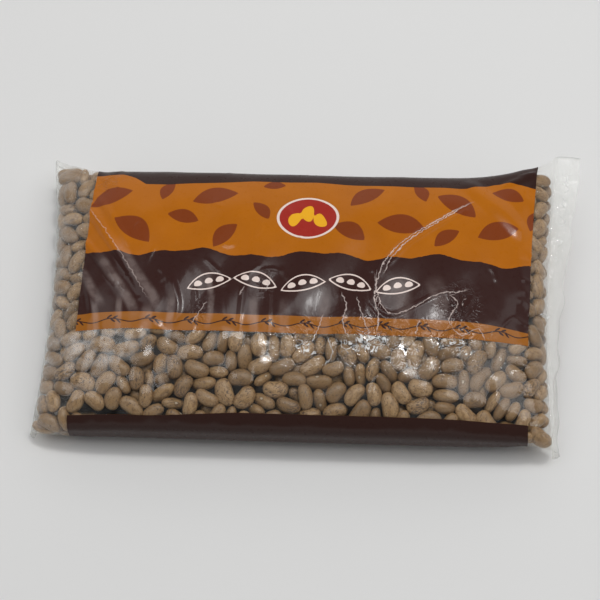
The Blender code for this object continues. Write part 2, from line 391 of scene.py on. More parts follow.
@functools.lru_cache(maxsize=1)
def settled_beans(length, film_width, thickness, bean_length, variety):
    """Places, turns and sizes of the beans against the film, all over the upper side and the ends."""
    pillow = Pillow(Sizes(length, film_width, thickness))
    rng = np.random.default_rng(SEED)
    box = np.array([[-length / 2, -film_width / 2 - 0.006, 0.0], [length / 2, film_width / 2, thickness + 0.002]])
    tries = int(np.prod(box[1] - box[0]) / PACKED_VOLUME)
    centres = box[0] + rng.random((tries, 3)) * (box[1] - box[0])
    centres = centres[wanted_places(pillow, centres, SHELL_DEPTH)]
    turns = lying_turns(rng, pillow.depth(centres)[1])
    scale = bean_length / (BALL_BEAN_LENGTH * MM)
    sizes = scale * (1 + variety * rng.uniform(-1, 1, len(centres)))
    hurry = 1
    centres, turns, balls = settle(pillow, centres, turns, sizes, SETTLE_STEPS // hurry)
    for _ in range(GAP_ROUNDS):
        more = free_places(rng, pillow, balls, box)
        if len(more) == 0:
            break
        centres = np.concatenate([centres, more])
        turns = np.concatenate([turns, lying_turns(rng, pillow.depth(more)[1])])
        sizes = np.concatenate([sizes, scale * (1 + variety * rng.uniform(-1, 0.3, len(more)))])
        centres, turns, balls = settle(pillow, centres, turns, sizes, GAP_STEPS // hurry)
    deep = pillow.depth(balls.reshape(-1, 3))[0].reshape(len(balls), -1).min(axis=1)
    empty_corner = (centres[:, 0] > EMPTY_CORNER[0]) & (centres[:, 1] > EMPTY_CORNER[1])
    kept = (deep > BALL_RADIUS * MM - LEAST_COVER) & ~empty_corner
    return centres[kept], turns[kept], sizes[kept]


class Sizes:
    """The bag's three driving sizes."""

    def __init__(self, length, film_width, thickness):
        self.length = length
        self.film_width = film_width
        self.thickness = thickness


# One bean's mesh
BEAN_SIDES = 14
BEAN_RINGS = 9
BEAN_BLUNTNESS = 0.84
BEAN_HOLLOW = 0.13
BEAN_HOLLOW_REACH = 0.34
BEAN_BEND = 0.06
BEAN_UNEVENNESS = 0.09
SHOWING_DEPTH = 0.0155
SHOWING_MARGIN = 0.008

PLACE_ROWS = 90
PLACE_COLUMNS = 140

# The heap behind the showing beans
HEAP_SINK = 0.0085
HEAP_ROWS = 60
HEAP_COLUMNS = 72

# The film's mesh: rows along the bag, and how far apart its columns lie across
FILM_ROWS = 350
ROWS_TO_ENDS = 0.66
TOP_PITCH = 0.0009
SIDE_PITCH = 0.0016
BACK_PITCH = 0.003
FIN_ROWS = 9

# How the film lies on the beans
RAY_START = 0.004
EMPTY_DEPTH = 0.005
FILM_SPAN = 0.045
SPAN_STEPS = 20
FILM_CLEARANCE = 0.00022
PRINT_SOFTENING = 60
PRINT_LIFT = 0.0004


def bean_template(sides, rings):
    """One bean's points in half sizes and its triangles, its ends along x and its eye towards -y."""
    points = [(1.0, 0.0, 0.0)]
    for ring in range(1, rings):
        angle = math.pi * ring / rings
        reach = math.sin(angle) ** BEAN_BLUNTNESS
        for side in range(sides):
            turn = 2 * math.pi * side / sides
            points.append((math.cos(angle), reach * math.cos(turn), reach * math.sin(turn)))
    points.append((-1.0, 0.0, 0.0))
    points = np.array(points)
    x, y, _ = points.T
    hollow = 1 - BEAN_HOLLOW * np.exp(-((x / BEAN_HOLLOW_REACH) ** 2)) * (y < 0)
    shaped = points.copy()
    shaped[:, 1] = y * hollow - BEAN_BEND * (2 * x * x - 0.7)

    faces = []
    for side in range(sides):
        after = (side + 1) % sides
        faces.append((0, 1 + side, 1 + after))
        for ring in range(rings - 2):
            one = 1 + ring * sides
            two = one + sides
            faces.append((one + side, two + side, two + after))
            faces.append((one + side, two + after, one + after))
        start = 1 + (rings - 2) * sides
        faces.append((len(points) - 1, start + after, start + side))
    return points, shaped, np.array(faces)


def placed_beans(beans, chosen, sides, rings):
    """Points and triangles of the chosen beans, with each point's place in its bean and its bean's number."""
    form = bpy.context.scene.bag_form
    sizes_of = bpy.context.scene.bag_beans
    centres, turns, sizes = beans
    local, shaped, faces = bean_template(sides, rings)
    rng = np.random.default_rng(SEED + 1)
    uneven = 1 + BEAN_UNEVENNESS * rng.uniform(-1, 1, (len(centres), 3))
    half = np.array([sizes_of.length, sizes_of.width, sizes_of.height]) / 2
    scale = half * uneven * (sizes * BALL_BEAN_LENGTH * MM / sizes_of.length)[:, None]
    scale = scale[chosen]
    placed = np.einsum("nij,nkj->nki", turns[chosen], shaped[None] * scale[:, None, :])
    placed += (centres[chosen] + frame_shift(form))[:, None, :]
    count = len(chosen)
    all_faces = (faces[None] + (np.arange(count) * len(local))[:, None, None]).reshape(-1, 3)
    return placed.reshape(-1, 3), all_faces, np.tile(local, (count, 1)), np.repeat(np.arange(count), len(local))


def mesh_from(name, points, faces):
    """A smooth mesh from an array of points and an array of faces with the same number of corners."""
    mesh = bpy.data.meshes.new(name)
    corners = faces.shape[1]
    mesh.vertices.add(len(points))
    mesh.vertices.foreach_set("co", np.ascontiguousarray(points, dtype=np.float32).ravel())
    mesh.loops.add(faces.size)
    mesh.loops.foreach_set("vertex_index", np.ascontiguousarray(faces, dtype=np.int32).ravel())
    mesh.polygons.add(len(faces))
    mesh.polygons.foreach_set("loop_start", np.arange(0, faces.size, corners, dtype=np.int32))
    mesh.update(calc_edges=True)
    mesh.shade_smooth()
    return mesh


def give_numbers(mesh, name, values):
    """One number for each point, which materials read by this name."""
    layer = mesh.attributes.new(name, "FLOAT", "POINT")
    layer.data.foreach_set("value", np.ascontiguousarray(values, dtype=np.float32))


def give_vectors(mesh, name, values):
    """One vector for each point, which materials read by this name."""
    layer = mesh.attributes.new(name, "FLOAT_VECTOR", "POINT")
    layer.data.foreach_set("vector", np.ascontiguousarray(values, dtype=np.float32).ravel())


def add_piece(mesh, material):
    """The mesh as a piece of the bag: it rides on the bag's body and stands for its solid."""
    piece = bpy.data.objects.new(mesh.name, mesh)
    bpy.context.scene.collection.objects.link(piece)
    mesh.materials.append(material)
    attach(piece, BODY)
    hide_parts(BAG_NODE)
    return piece


def all_beans():
    """The settled beans at the scene's sizes, with those that would stick out at a seal drawn back from it."""
    form = bpy.context.scene.bag_form
    beans = bpy.context.scene.bag_beans
    pillow = Pillow(form)
    centres, turns, sizes = settled_beans(form.length, form.film_width, form.thickness, beans.length, beans.variety)
    centres = centres.copy()
    by_seal = np.nonzero(pillow.inset(centres[:, 0]) < TUCKED_REACH)[0]
    for _ in range(TUCKING_STEPS):
        points = placed_beans((centres, turns, sizes), by_seal, BEAN_SIDES, BEAN_RINGS)[0] - frame_shift(form)
        seal_side = pillow.inset(pillow.unbowed(points)[:, 0])
        depths = np.where(seal_side < TUCKED_LIFT, pillow.depth(points)[0], TUCKED_COVER)
        depths = np.minimum(depths, seal_side)
        missing = np.clip(TUCKED_COVER - depths.reshape(len(by_seal), -1).min(axis=1), 0, TUCKING_STEP)
        centres[by_seal, 0] -= np.sign(centres[by_seal, 0]) * missing
    return centres, turns, sizes


def print_slant(pillow, x, film):
    """How far the print's upright edges lean along the bag."""
    swing = PRINT_SLANT * pillow.film_width / math.pi * np.sin(math.pi * film / pillow.film_width)
    return swing * ramp(pillow.inset(x) / 0.008)


def window_dip(x, film):
    """How far the window's near edge dips across the film towards the left seal."""
    return -WINDOW_DIP * ramp((-x - 0.02) / 0.06) * np.exp(-(((film - WINDOW[0]) / 0.012) ** 2))


def is_clear(x, film):
    """True where the film carries no print, measured without its slant."""
    ends = (x < PRINT_ENDS[0]) | (x > PRINT_ENDS[1])
    window = (film > WINDOW[0]) & (film < WINDOW[1])
    return ends | window


def film_columns(width):
    """Distances across the film at which its columns lie, with one on each printed edge."""
    stops = (-width, -BACK_STRIPS, STRIP_EDGES[0], WINDOW[1], STRIP_EDGES[1], BACK_STRIPS, width)
    pitches = (BACK_PITCH, SIDE_PITCH, TOP_PITCH, TOP_PITCH, SIDE_PITCH, BACK_PITCH)
    columns = [np.array([stops[0]])]
    for start, stop, pitch in zip(stops[:-1], stops[1:], pitches):
        steps = math.ceil((stop - start) / pitch)
        columns.append(np.linspace(start, stop, steps + 1)[1:])
    return np.concatenate(columns)


def film_rows(pillow):
    """Places along the bag at which the film's rows lie, close at the seals, with one on each printed edge."""
    share = np.linspace(-1, 1, FILM_ROWS)
    rows = pillow.length / 2 * ((1 - ROWS_TO_ENDS) * share + ROWS_TO_ENDS * np.sin(math.pi / 2 * share))
    for edge in PRINT_ENDS:
        rows[np.abs(rows - edge).argmin()] = edge
    return rows


def smooth_film(pillow, rows, columns):
    """Points of the film without beans or creases, on a grid of rows and columns."""
    fine = np.array([pillow.ring(x, columns + window_dip(x, columns)) for x in rows])
    grid = fine.copy()
    for j, film in enumerate(columns):
        slanted = rows + print_slant(pillow, rows, film)
        grid[:, j, 0] = slanted
        grid[:, j, 1] = np.interp(slanted, rows, fine[:, j, 1])
        grid[:, j, 2] = np.interp(slanted, rows, fine[:, j, 2])
    return pillow.bowed(grid)


def grid_normals(grid):
    """Outward directions on a grid of points."""
    along = np.gradient(grid, axis=0)
    across = np.gradient(grid, axis=1)
    across[:, 0] = across[:, -1] = across[:, 0] + across[:, -1]
    normals = np.cross(along, across)
    return normals / np.maximum(np.linalg.norm(normals, axis=2, keepdims=True), 1e-12)


def bean_tree(shift):
    """All the settled beans as a tree that rays can be sent into, in the form's own place."""
    beans = all_beans()
    points, faces, _, _ = placed_beans(beans, np.arange(len(beans[0])), BEAN_SIDES, BEAN_RINGS)
    return BVHTree.FromPolygons((points - shift).tolist(), faces.tolist())


def depth_to_beans(pillow, rows, columns, grid, normals, tree):
    """How deep the beans lie straight under each point of the film."""
    depths = np.zeros(grid.shape[:2])
    for i, x in enumerate(rows):
        inset = pillow.inset(x)
        if inset < 0.0012:
            continue
        for j, film in enumerate(columns):
            if abs(film) > UPPER_FILM and abs(x) < ROUND_ENDS:
                continue
            point = Vector(grid[i, j])
            normal = Vector(normals[i, j])
            _, _, _, distance = tree.ray_cast(point + normal * RAY_START, -normal, RAY_START + EMPTY_DEPTH)
            depths[i, j] = EMPTY_DEPTH if distance is None else distance - RAY_START
    return depths


def spanned(depths, lengths, axis, sign):
    """One pass that bridges hollows, or fills them back, along one direction of the grid."""
    depths = np.moveaxis(depths, axis, 0) * sign
    lengths = np.moveaxis(lengths, axis, 0)
    best = depths.copy()
    for step in range(1, SPAN_STEPS + 1):
        rise = (lengths[step:] - lengths[:-step]) ** 2 / (2 * FILM_SPAN)
        best[:-step] = np.minimum(best[:-step], depths[step:] + rise)
        best[step:] = np.minimum(best[step:], depths[:-step] + rise)
    return np.moveaxis(best * sign, 0, axis)


def running_lengths(grid, axis):
    """Distances along the grid's rows or columns."""
    steps = np.linalg.norm(np.diff(grid, axis=axis), axis=2)
    pad = [(0, 0), (0, 0)]
    pad[axis] = (1, 0)
    return np.pad(np.cumsum(steps, axis=axis), pad)


def softened(values):
    """Each value mixed with its neighbours on the grid."""
    for axis in (0, 1):
        values = np.moveaxis(values, axis, 0)
        middle = values.copy()
        middle[1:-1] = (values[:-2] + 2 * values[1:-1] + values[2:]) / 4
        values = np.moveaxis(middle, 0, axis)
    return values


def taut_depths(grid, depths):
    """How deep the film lies as it spans from bean to bean."""
    lengths = [running_lengths(grid, axis) for axis in (0, 1)]
    taut = depths
    for sign in (1, -1):
        for axis in (0, 1):
            taut = spanned(taut, lengths[axis], axis, sign)
    for _ in range(3):
        taut = np.minimum(softened(taut), depths)
    return taut


def inside_print(along, across):
    """How far inside the print each place of the film lies, negative on clear film."""
    ends = np.minimum(along - PRINT_ENDS[0], PRINT_ENDS[1] - along)
    window = np.maximum(across - WINDOW[1], WINDOW[0] - across)
    return np.minimum(ends, window)


def print_depths(depths, inside):
    """How deep the film lies where the printed part, which is smoother, evens out the beans under it."""
    broad = depths
    for _ in range(PRINT_SOFTENING):
        broad = softened(broad)
    broad = broad - PRINT_LIFT
    over_beans = ramp((2 * SHOWING_MARGIN - inside) / (0.75 * SHOWING_MARGIN))
    broad = broad - over_beans * np.maximum(broad - depths, 0)
    share = ramp((inside - 0.002) / 0.008)
    return depths + share * (broad - depths)


def smooth_line(points, steps=12):
    """A curve through given points."""
    points = np.array(points, dtype=float)
    padded = np.vstack([2 * points[0] - points[1], points, 2 * points[-1] - points[-2]])
    curve = []
    for a, b, c, d in zip(padded[:-3], padded[1:-2], padded[2:-1], padded[3:]):
        for t in np.linspace(0, 1, steps, endpoint=False):
            curve.append(0.5 * (2 * b + (c - a) * t + (2 * a - 5 * b + 4 * c - d) * t**2 + (3 * b - a - 3 * c + d) * t**3))
    curve.append(points[-1])
    return np.array(curve)


# Creases seen in the film: points along and across it, height and half width, all in millimetres
CREASES = (
    (((-126, 58), (-112, 40), (-95, 13.5), (-71, -22.5)), 1.5, 3.0),
    (((-122, 30), (-105, 11), (-85, -16.5)), 1.2, 2.6),
    (((-124, 14), (-110, 0), (-102, -27)), 0.9, 2.2),
    (((-118, 60), (-100, 34), (-84, 8)), 0.9, 2.4),
    (((-66, -2), (-60, -20), (-64, -32)), 0.7, 2.4),
    (((85, 48.5), (50.5, 19), (40, 0.5), (38.7, -14), (44.6, -20.5), (52, -20.5), (71, -9.5), (85, -5.5)), 0.6, 0.9),
    (((87, 45.5), (56, 20), (44, 4)), 0.45, 0.9),
    (((98, 60), (110, 66), (121, 74)), 0.9, 2.2),
    (((80, 64), (98, 46), (116, 26)), 1.3, 5.0),
    (((-52, -8), (-50, -26), (-53, -40)), 0.45, 1.0),
    (((-27, -6), (-28, -34)), 0.4, 1.0),
    (((-14, -8), (-13, -38)), 0.4, 1.0),
    (((22, -8), (25, -20), (21, -36)), 0.55, 1.0),
    (((29, -6), (33, -20), (30, -40), (35, -46)), 0.6, 1.0),
    (((36, -16), (44, -26), (50, -24)), 0.55, 0.9),
    (((75, -8), (82, -20), (76, -34)), 0.6, 1.0),
    (((90, -6), (84, -22), (92, -30)), 0.5, 1.0),
    (((-106, 62), (-103, 48)), 0.4, 1.0),
    (((-100, 63), (-98, 50)), 0.4, 1.0),
)

# Thin sharp creases painted pale, partly as whitened film and partly as painted glints, in two sets whose lines keep
# apart, each with its strength
FIRST_LINES = (
    (((87, 49.5), (70, 36), (53, 22), (44, 10), (40.5, 0), (39, -12), (42, -24), (41, -34)), 0.9),
    (((38, 3), (40.5, -10), (45, -19), (51, -21), (60, -16.5), (71, -9.5), (80, -7.5), (87, -4.5)), 0.8),
    (((76, -9), (81, -14), (77, -22), (79, -27)), 0.8),
    (((22, -9), (25.5, -18), (24, -26), (28, -36)), 0.75),
    (((30, -12), (33.5, -22), (38, -33)), 0.8),
    (((14, -22), (12, -30), (9, -38)), 0.7),
    (((-45, -17), (-49, -24), (-52, -29)), 0.7),
    (((-112, 40), (-101, 24), (-88, 4), (-74, -18)), 0.35),
    (((134, 75), (137.5, 72.5), (135, 70), (138.5, 67), (136, 64.5)), 0.9),
    (((138, 60.5), (135, 58.5), (137.5, 56)), 0.8),
    (((134.5, 51), (138, 49), (136.5, 45.5), (134, 47)), 0.9),
    (((133, 27), (135.5, 25.5)), 0.6),
)
SECOND_LINES = (
    (((87, 49), (72, 36.5), (56, 23), (46.5, 11), (42.5, 0.5)), 0.9),
    (((-14, -2), (-16, -9)), 0.7),
    (((-27, -8), (-29, -13)), 0.6),
    (((62, -24), (61, -32)), 0.8),
    (((78, -27), (84, -31), (92, -27), (96, -33)), 0.7),
    (((17, -34), (20, -44), (16, -50)), 0.6),
    (((139, 76), (136, 73), (138, 69)), 0.6),
    (((135, 62), (138.5, 58)), 0.6),
    (((133, 37), (136.5, 36), (135, 33)), 0.7),
    (((132, -7), (129, -10), (125.5, -13.5)), 0.9),
)

# Soft folds with painted sheen, where the film is painted lighter as if a light shone on them: points along and
# across it, half width, and strength
SHEEN_FOLDS = (
    (((-96, 22), (-86, 4), (-73, -14), (-68, -26)), 2.3, 0.8),
    (((-105, 13), (-96, -1), (-84, -18), (-80, -28)), 2.2, 0.9),
    (((-113, 4), (-105, -9), (-97, -22)), 2.0, 0.8),
    (((-103, -14), (-99, -38)), 1.5, 0.7),
    (((-90, -12), (-88, -40)), 1.4, 0.8),
    (((-75, -18), (-74, -44)), 2.6, 0.8),
    (((-63, -8), (-63, -42)), 1.8, 0.7),
    (((-47, 2), (-43, -16), (-44, -34)), 1.4, 0.8),
    (((-22, -10), (-20, -36)), 2.0, 0.6),
    (((-6, -12), (-5, -38)), 2.2, 0.5),
    (((14, -6), (15, -40)), 2.4, 0.5),
    (((46, -2), (54, -12), (52, -32)), 4.0, 0.45),
    (((66, 2), (72, -14), (66, -36)), 4.0, 0.45),
)

# Crumpled patches, whose sharpest ridges also get painted glints: place along and across, spread along and across,
# strength, then the seals' own
CRUMPLES = (
    (38, -37, 24, 9, 1.2),
    (82, -14, 7, 7, 0.9),
    (80, -38, 14, 8, 1.2),
    (8, -40, 13, 7, 0.95),
    (-47, -22, 4, 6, 0.6),
    (-17, -6, 3, 5, 0.6),
    (-104, 58, 6, 7, 0.5),
    (-121, 5, 8, 50, 0.5),
)
SEAL_CRUMPLE = (0.124, 0.132, 0.35)
# Painted glare: a lighter spot of haze on the window's left part, standing for the glare of a light: place along and
# across, spread along and across, and strength, in metres
GLARE_PATCH = (-0.101, -0.043, 0.032, 0.013, 0.24)
CREASE_FADE = 0.2
PLEATS_AT_EACH_SEAL = 34
SMALL_CREASES = 46
CREASE_SEED = 21
FIN_WAVE = 0.0009
FIN_WAVE_PITCH = 0.031
CRIMP_HEIGHT = 0.00022
CRIMP_PITCH = 0.0021

# Leaves printed on the orange field: places along and across in millimetres, half sizes, turn in degrees
PRINTED_LEAVES = (
    (-101, 46, 11.5, 5.4, 24),
    (-87, 25, 12.5, 6.0, -38),
    (-72, 50, 7.0, 3.4, 68),
    (-62, 33, 8.5, 4.2, -12),
    (-47, 47, 12.0, 5.6, 14),
    (-40, 22, 9.0, 4.4, 52),
    (-22, 38, 7.0, 3.4, -50),
    (-17, 56, 6.0, 3.0, 8),
    (24, 26, 9.5, 4.8, -28),
    (31, 49, 10.5, 5.0, 36),
    (50, 31, 12.5, 6.2, -8),
    (59, 53, 7.0, 3.4, -62),
    (73, 24, 8.0, 4.0, 40),
    (78, 45, 12.0, 5.6, -32),
    (99, 30, 11.0, 5.4, 20),
    (104, 54, 9.0, 4.4, -14),
    (119, 40, 7.0, 3.6, 70),
)
LEAF_BEND = 0.16
PRINTED_BEAN_BEND = 0.22

# The far strip's edge: places along and across the film in millimetres
FAR_EDGE = (
    (-111, 64.5),
    (-97, 64.5),
    (-90, 60.5),
    (-84, 55.0),
    (-72, 54.5),
    (-50, 57.0),
    (-28, 59.0),
    (5, 59.0),
    (40, 57.5),
    (82, 57.0),
    (96, 62.0),
    (104, 63.0),
    (119, 60.0),
)

# The badge, and the row of outlined bean pods below it
BADGE = (2.0, 34.0, 16.0, 13.0)
BADGE_RIM = 1.1
BADGE_BEANS = ((-4.5, 32.5, 4.6, 3.0, 62), (2.0, 36.5, 5.0, 3.2, 90), (8.5, 32.5, 4.6, 3.0, 118))
POD_ROW = ((-45, -6.0, 16), (-21.5, -4.5, -12), (2.5, -6.0, 14), (26.5, -4.5, -14), (50.5, -6.0, 12))
POD = (11.6, 4.6)
POD_LINE = 0.3
POD_SEEDS = (-5.6, 0.0, 5.6)
POD_SEED = (2.1, 1.6)


def distance_to_line(points, line):
    """Each point's distance to a line of many short steps, and how far along it is, 0 to 1."""
    starts = line[:-1]
    steps = np.diff(line, axis=0)
    lengths = np.maximum((steps**2).sum(axis=1), 1e-18)
    offset = points[:, None, :] - starts[None]
    share = np.clip((offset * steps).sum(axis=2) / lengths, 0, 1)
    gaps = np.linalg.norm(offset - share[..., None] * steps, axis=2)
    nearest = gaps.argmin(axis=1)
    rows = np.arange(len(points))
    return gaps[rows, nearest], (nearest + share[rows, nearest]) / len(steps)


def random_creases(pillow):
    """Pleats that run in from the seals, and small creases scattered over the upper side."""
    rng = np.random.default_rng(CREASE_SEED)
    creases = []
    half = pillow.length / 2 / MM
    width = pillow.film_width / MM
    for end in (-1, 1):
        for _ in range(PLEATS_AT_EACH_SEAL):
            film = rng.uniform(-width, width)
            run = rng.uniform(7, 24)
            lean = rng.normal(0, 0.16) * run
            start = (end * (half - 0.5), film)
            middle = (end * (half - 0.55 * run), film + 0.4 * lean)
            stop = (end * (half - run), film + lean)
            creases.append(((start, middle, stop), rng.uniform(0.2, 0.6), rng.uniform(0.8, 1.4)))
    for _ in range(SMALL_CREASES):
        x = rng.uniform(-half + 12, half - 12)
        film = rng.uniform(-80, 74)
        run = rng.uniform(5, 15)
        angle = rng.normal(math.radians(70), 0.6)
        step = (run * math.cos(angle), run * math.sin(angle))
        bow = rng.normal(0, 0.12) * run
        middle = (x + step[0] / 2 - bow * step[1] / run, film + step[1] / 2 + bow * step[0] / run)
        creases.append((((x, film), middle, (x + step[0], film + step[1])), rng.uniform(0.12, 0.35), rng.uniform(0.8, 1.2)))
    return creases


def crease_heights(pillow, along, across):
    """How far creases lift the film, on a grid of film places."""
    places = np.stack([along.ravel(), across.ravel()], axis=1)
    heights = np.zeros(len(places))
    for points, height, width in list(CREASES) + random_creases(pillow):
        line = smooth_line(points) * MM
        width = width * MM
        low = line.min(axis=0) - 4 * width
        high = line.max(axis=0) + 4 * width
        inside = np.nonzero(((places > low) & (places < high)).all(axis=1))[0]
        if len(inside) == 0:
            continue
        gap, share = distance_to_line(places[inside], line)
        fade = ramp(share / CREASE_FADE + 0.2) * ramp((1 - share) / CREASE_FADE)
        ridge = np.exp(-((gap / width) ** 2)) - 0.3 * np.exp(-(((gap - 2 * width) / width) ** 2))
        heights[inside] += height * MM * fade * ridge
    return np.maximum(heights, 0).reshape(along.shape)


def bean_distance(along, across, shape):
    """How far inside a printed bean shape each place lies, negative outside, in millimetres."""
    x0, y0, a, b, degrees = shape
    turn = math.radians(degrees)
    x = along - x0
    y = across - y0
    x, y = x * math.cos(turn) + y * math.sin(turn), y * math.cos(turn) - x * math.sin(turn)
    y = y + PRINTED_BEAN_BEND * (x * x / a - 0.4 * a)
    return b * (1 - np.sqrt((x / a) ** 2 + (y / b) ** 2))


def leaf_distance(along, across, shape):
    """How far inside a printed leaf, pointed at both ends, each place lies, in millimetres."""
    x0, y0, a, b, degrees = shape
    turn = math.radians(degrees)
    x = along - x0
    y = across - y0
    x, y = x * math.cos(turn) + y * math.sin(turn), y * math.cos(turn) - x * math.sin(turn)
    y = y + LEAF_BEND * (x * x / a - 0.4 * a)
    return b * (1 - (x / a) ** 2) - np.abs(y)


def pod_seeds():
    """The seeds inside the outlined pods."""
    shapes = []
    for x0, y0, degrees in POD_ROW:
        turn = math.radians(degrees)
        for x in POD_SEEDS:
            y = -LEAF_BEND * (x * x / POD[0] - 0.4 * POD[0])
            place = (x0 + x * math.cos(turn) - y * math.sin(turn), y0 + x * math.sin(turn) + y * math.cos(turn))
            shapes.append((*place, *POD_SEED, degrees))
    return shapes


def print_marks(along, across):
    """Masks of the printed shapes as distances inside them, in millimetres, on film places in metres."""
    x = along / MM
    y = across / MM
    leaves = np.max([leaf_distance(x, y, shape) for shape in PRINTED_LEAVES], axis=0)
    pods = np.max([leaf_distance(x, y, (x0, y0, *POD, turn)) for x0, y0, turn in POD_ROW], axis=0)
    seeds = np.max([bean_distance(x, y, shape) for shape in pod_seeds()], axis=0)
    gold = np.max([bean_distance(x, y, shape) for shape in BADGE_BEANS], axis=0)
    x0, y0, a, b = BADGE
    badge = b * (1 - np.sqrt(((x - x0) / a) ** 2 + ((y - y0) / b) ** 2))
    edge = np.array(FAR_EDGE)
    strips = np.maximum(y - np.interp(x, edge[:, 0], edge[:, 1]), STRIP_EDGES[0] / MM - y)
    return {
        "print_leaves": leaves,
        "print_pods": pods,
        "print_seeds": seeds,
        "print_gold": gold,
        "print_badge": badge,
        "print_strips": strips,
    }


def fin_rows(pillow, seal, columns, side):
    """Rows of points that carry the film on past a seal along its curling fin, crimped across."""
    outwards = -1 if side == "left" else 1
    y = seal[:, 1]
    share = (y - y.min()) / (y.max() - y.min())
    start = FIN_START[side][0] + (FIN_START[side][1] - FIN_START[side][0]) * share
    curl = FIN_CURL[side][0] + (FIN_CURL[side][1] - FIN_CURL[side][0]) * share
    length = FIN_LENGTH[side][0] + (FIN_LENGTH[side][1] - FIN_LENGTH[side][0]) * share
    radius = length / curl
    middle = np.interp(y, [y.min(), y.max()], [seal[y.argmin(), 2], seal[y.argmax(), 2]])
    offset = seal[:, 2] - middle
    wave = np.sin(2 * math.pi * y / FIN_WAVE_PITCH + 1.0) + 0.6 * np.sin(2 * math.pi * y / FIN_WAVE_PITCH * 1.83)
    rows = []
    for step in range(1, FIN_ROWS + 1):
        reached = step / FIN_ROWS
        angle = start + curl * reached
        crimp = CRIMP_HEIGHT * np.sin(2 * math.pi * length * reached / CRIMP_PITCH)
        raised = offset + FIN_WAVE * wave * reached + crimp
        out = radius * (np.sin(angle) - np.sin(start)) + raised * np.sin(angle)
        rise = radius * (np.cos(angle) - np.cos(start)) + raised * np.cos(angle)
        rows.append(np.stack([seal[:, 0] + outwards * out, y, np.maximum(middle + rise, 0.0003)], axis=1))
    return np.array(rows)


def draped_film():
    """The film over the beans: its points, and their places along and across the film."""
    form = bpy.context.scene.bag_form
    pillow = Pillow(form)
    shift = frame_shift(form)
    rows = film_rows(pillow)
    columns = film_columns(form.film_width)
    smooth = smooth_film(pillow, rows, columns)
    normals = grid_normals(smooth)
    depths = depth_to_beans(pillow, rows, columns, smooth, normals, bean_tree(shift))
    along, across = np.meshgrid(rows, columns, indexing="ij")
    depths = print_depths(taut_depths(smooth, depths), inside_print(along, across))
    lift = crease_heights(pillow, along, across) + FILM_CLEARANCE
    hold = ramp(pillow.inset(rows) / 0.0016)[:, None]
    draped = smooth + normals * ((lift - depths) * hold)[..., None]
    draped[..., 2] = np.maximum(draped[..., 2], 0.0001)
    left = fin_rows(pillow, draped[0], columns, "left")[::-1]
    right = fin_rows(pillow, draped[-1], columns, "right")
    grid = np.concatenate([left, draped, right]) + shift
    run = np.arange(1, FIN_ROWS + 1) / FIN_ROWS
    left_rows = rows[0] - FIN_LENGTH["left"][1] * run[::-1]
    right_rows = rows[-1] + FIN_LENGTH["right"][1] * run
    along, across = np.meshgrid(np.concatenate([left_rows, rows, right_rows]), columns, indexing="ij")
    return grid, along, across


def film_part(name, grid, along, across, chosen):
    """The chosen cells of the film's grid as a mesh that knows its places in the film."""
    across_count = grid.shape[1]
    i, j = np.nonzero(chosen)
    one = i * across_count + j
    faces = np.stack([one, one + across_count, one + across_count + 1, one + 1], axis=1)
    used, faces = np.unique(faces, return_inverse=True)
    mesh = mesh_from(name, grid.reshape(-1, 3)[used], faces.reshape(-1, 4))
    x = along.ravel()[used]
    film = across.ravel()[used]
    give_vectors(mesh, "film_place", np.stack([x, film, np.zeros(len(used))], axis=1))
    return mesh, x, film


# The lights: the name of each and of the setting that holds its power, its place and its size
CAMERA_AIM = (-0.0002, -0.0039, 0.018)
LIGHT_COLOUR = (1.0, 0.998, 0.99)
SOFTBOXES = (
    ("top_light", (0.14, 0.27, 1.2), (0.6, 0.24)),
    ("spark_light", (0.2, 0.27, 1.2), (0.1, 0.1)),
    ("left_light", (-0.62, 0.08, 1.1), (0.8, 0.7)),
    ("right_light", (0.62, 0.0, 1.1), (0.9, 0.7)),
)
AMBIENT_TOWARDS = (0.35, 0.9)


def paint(red, green, blue):
    """A display colour, 0 to 255, as the linear values that materials hold."""
    values = np.array([red, green, blue]) / 255
    return tuple(np.where(values <= 0.04045, values / 12.92, ((values + 0.055) / 1.055) ** 2.4).tolist())


def solid(colour):
    """A colour with full alpha, as node sockets want it."""
    return (*colour, 1.0)


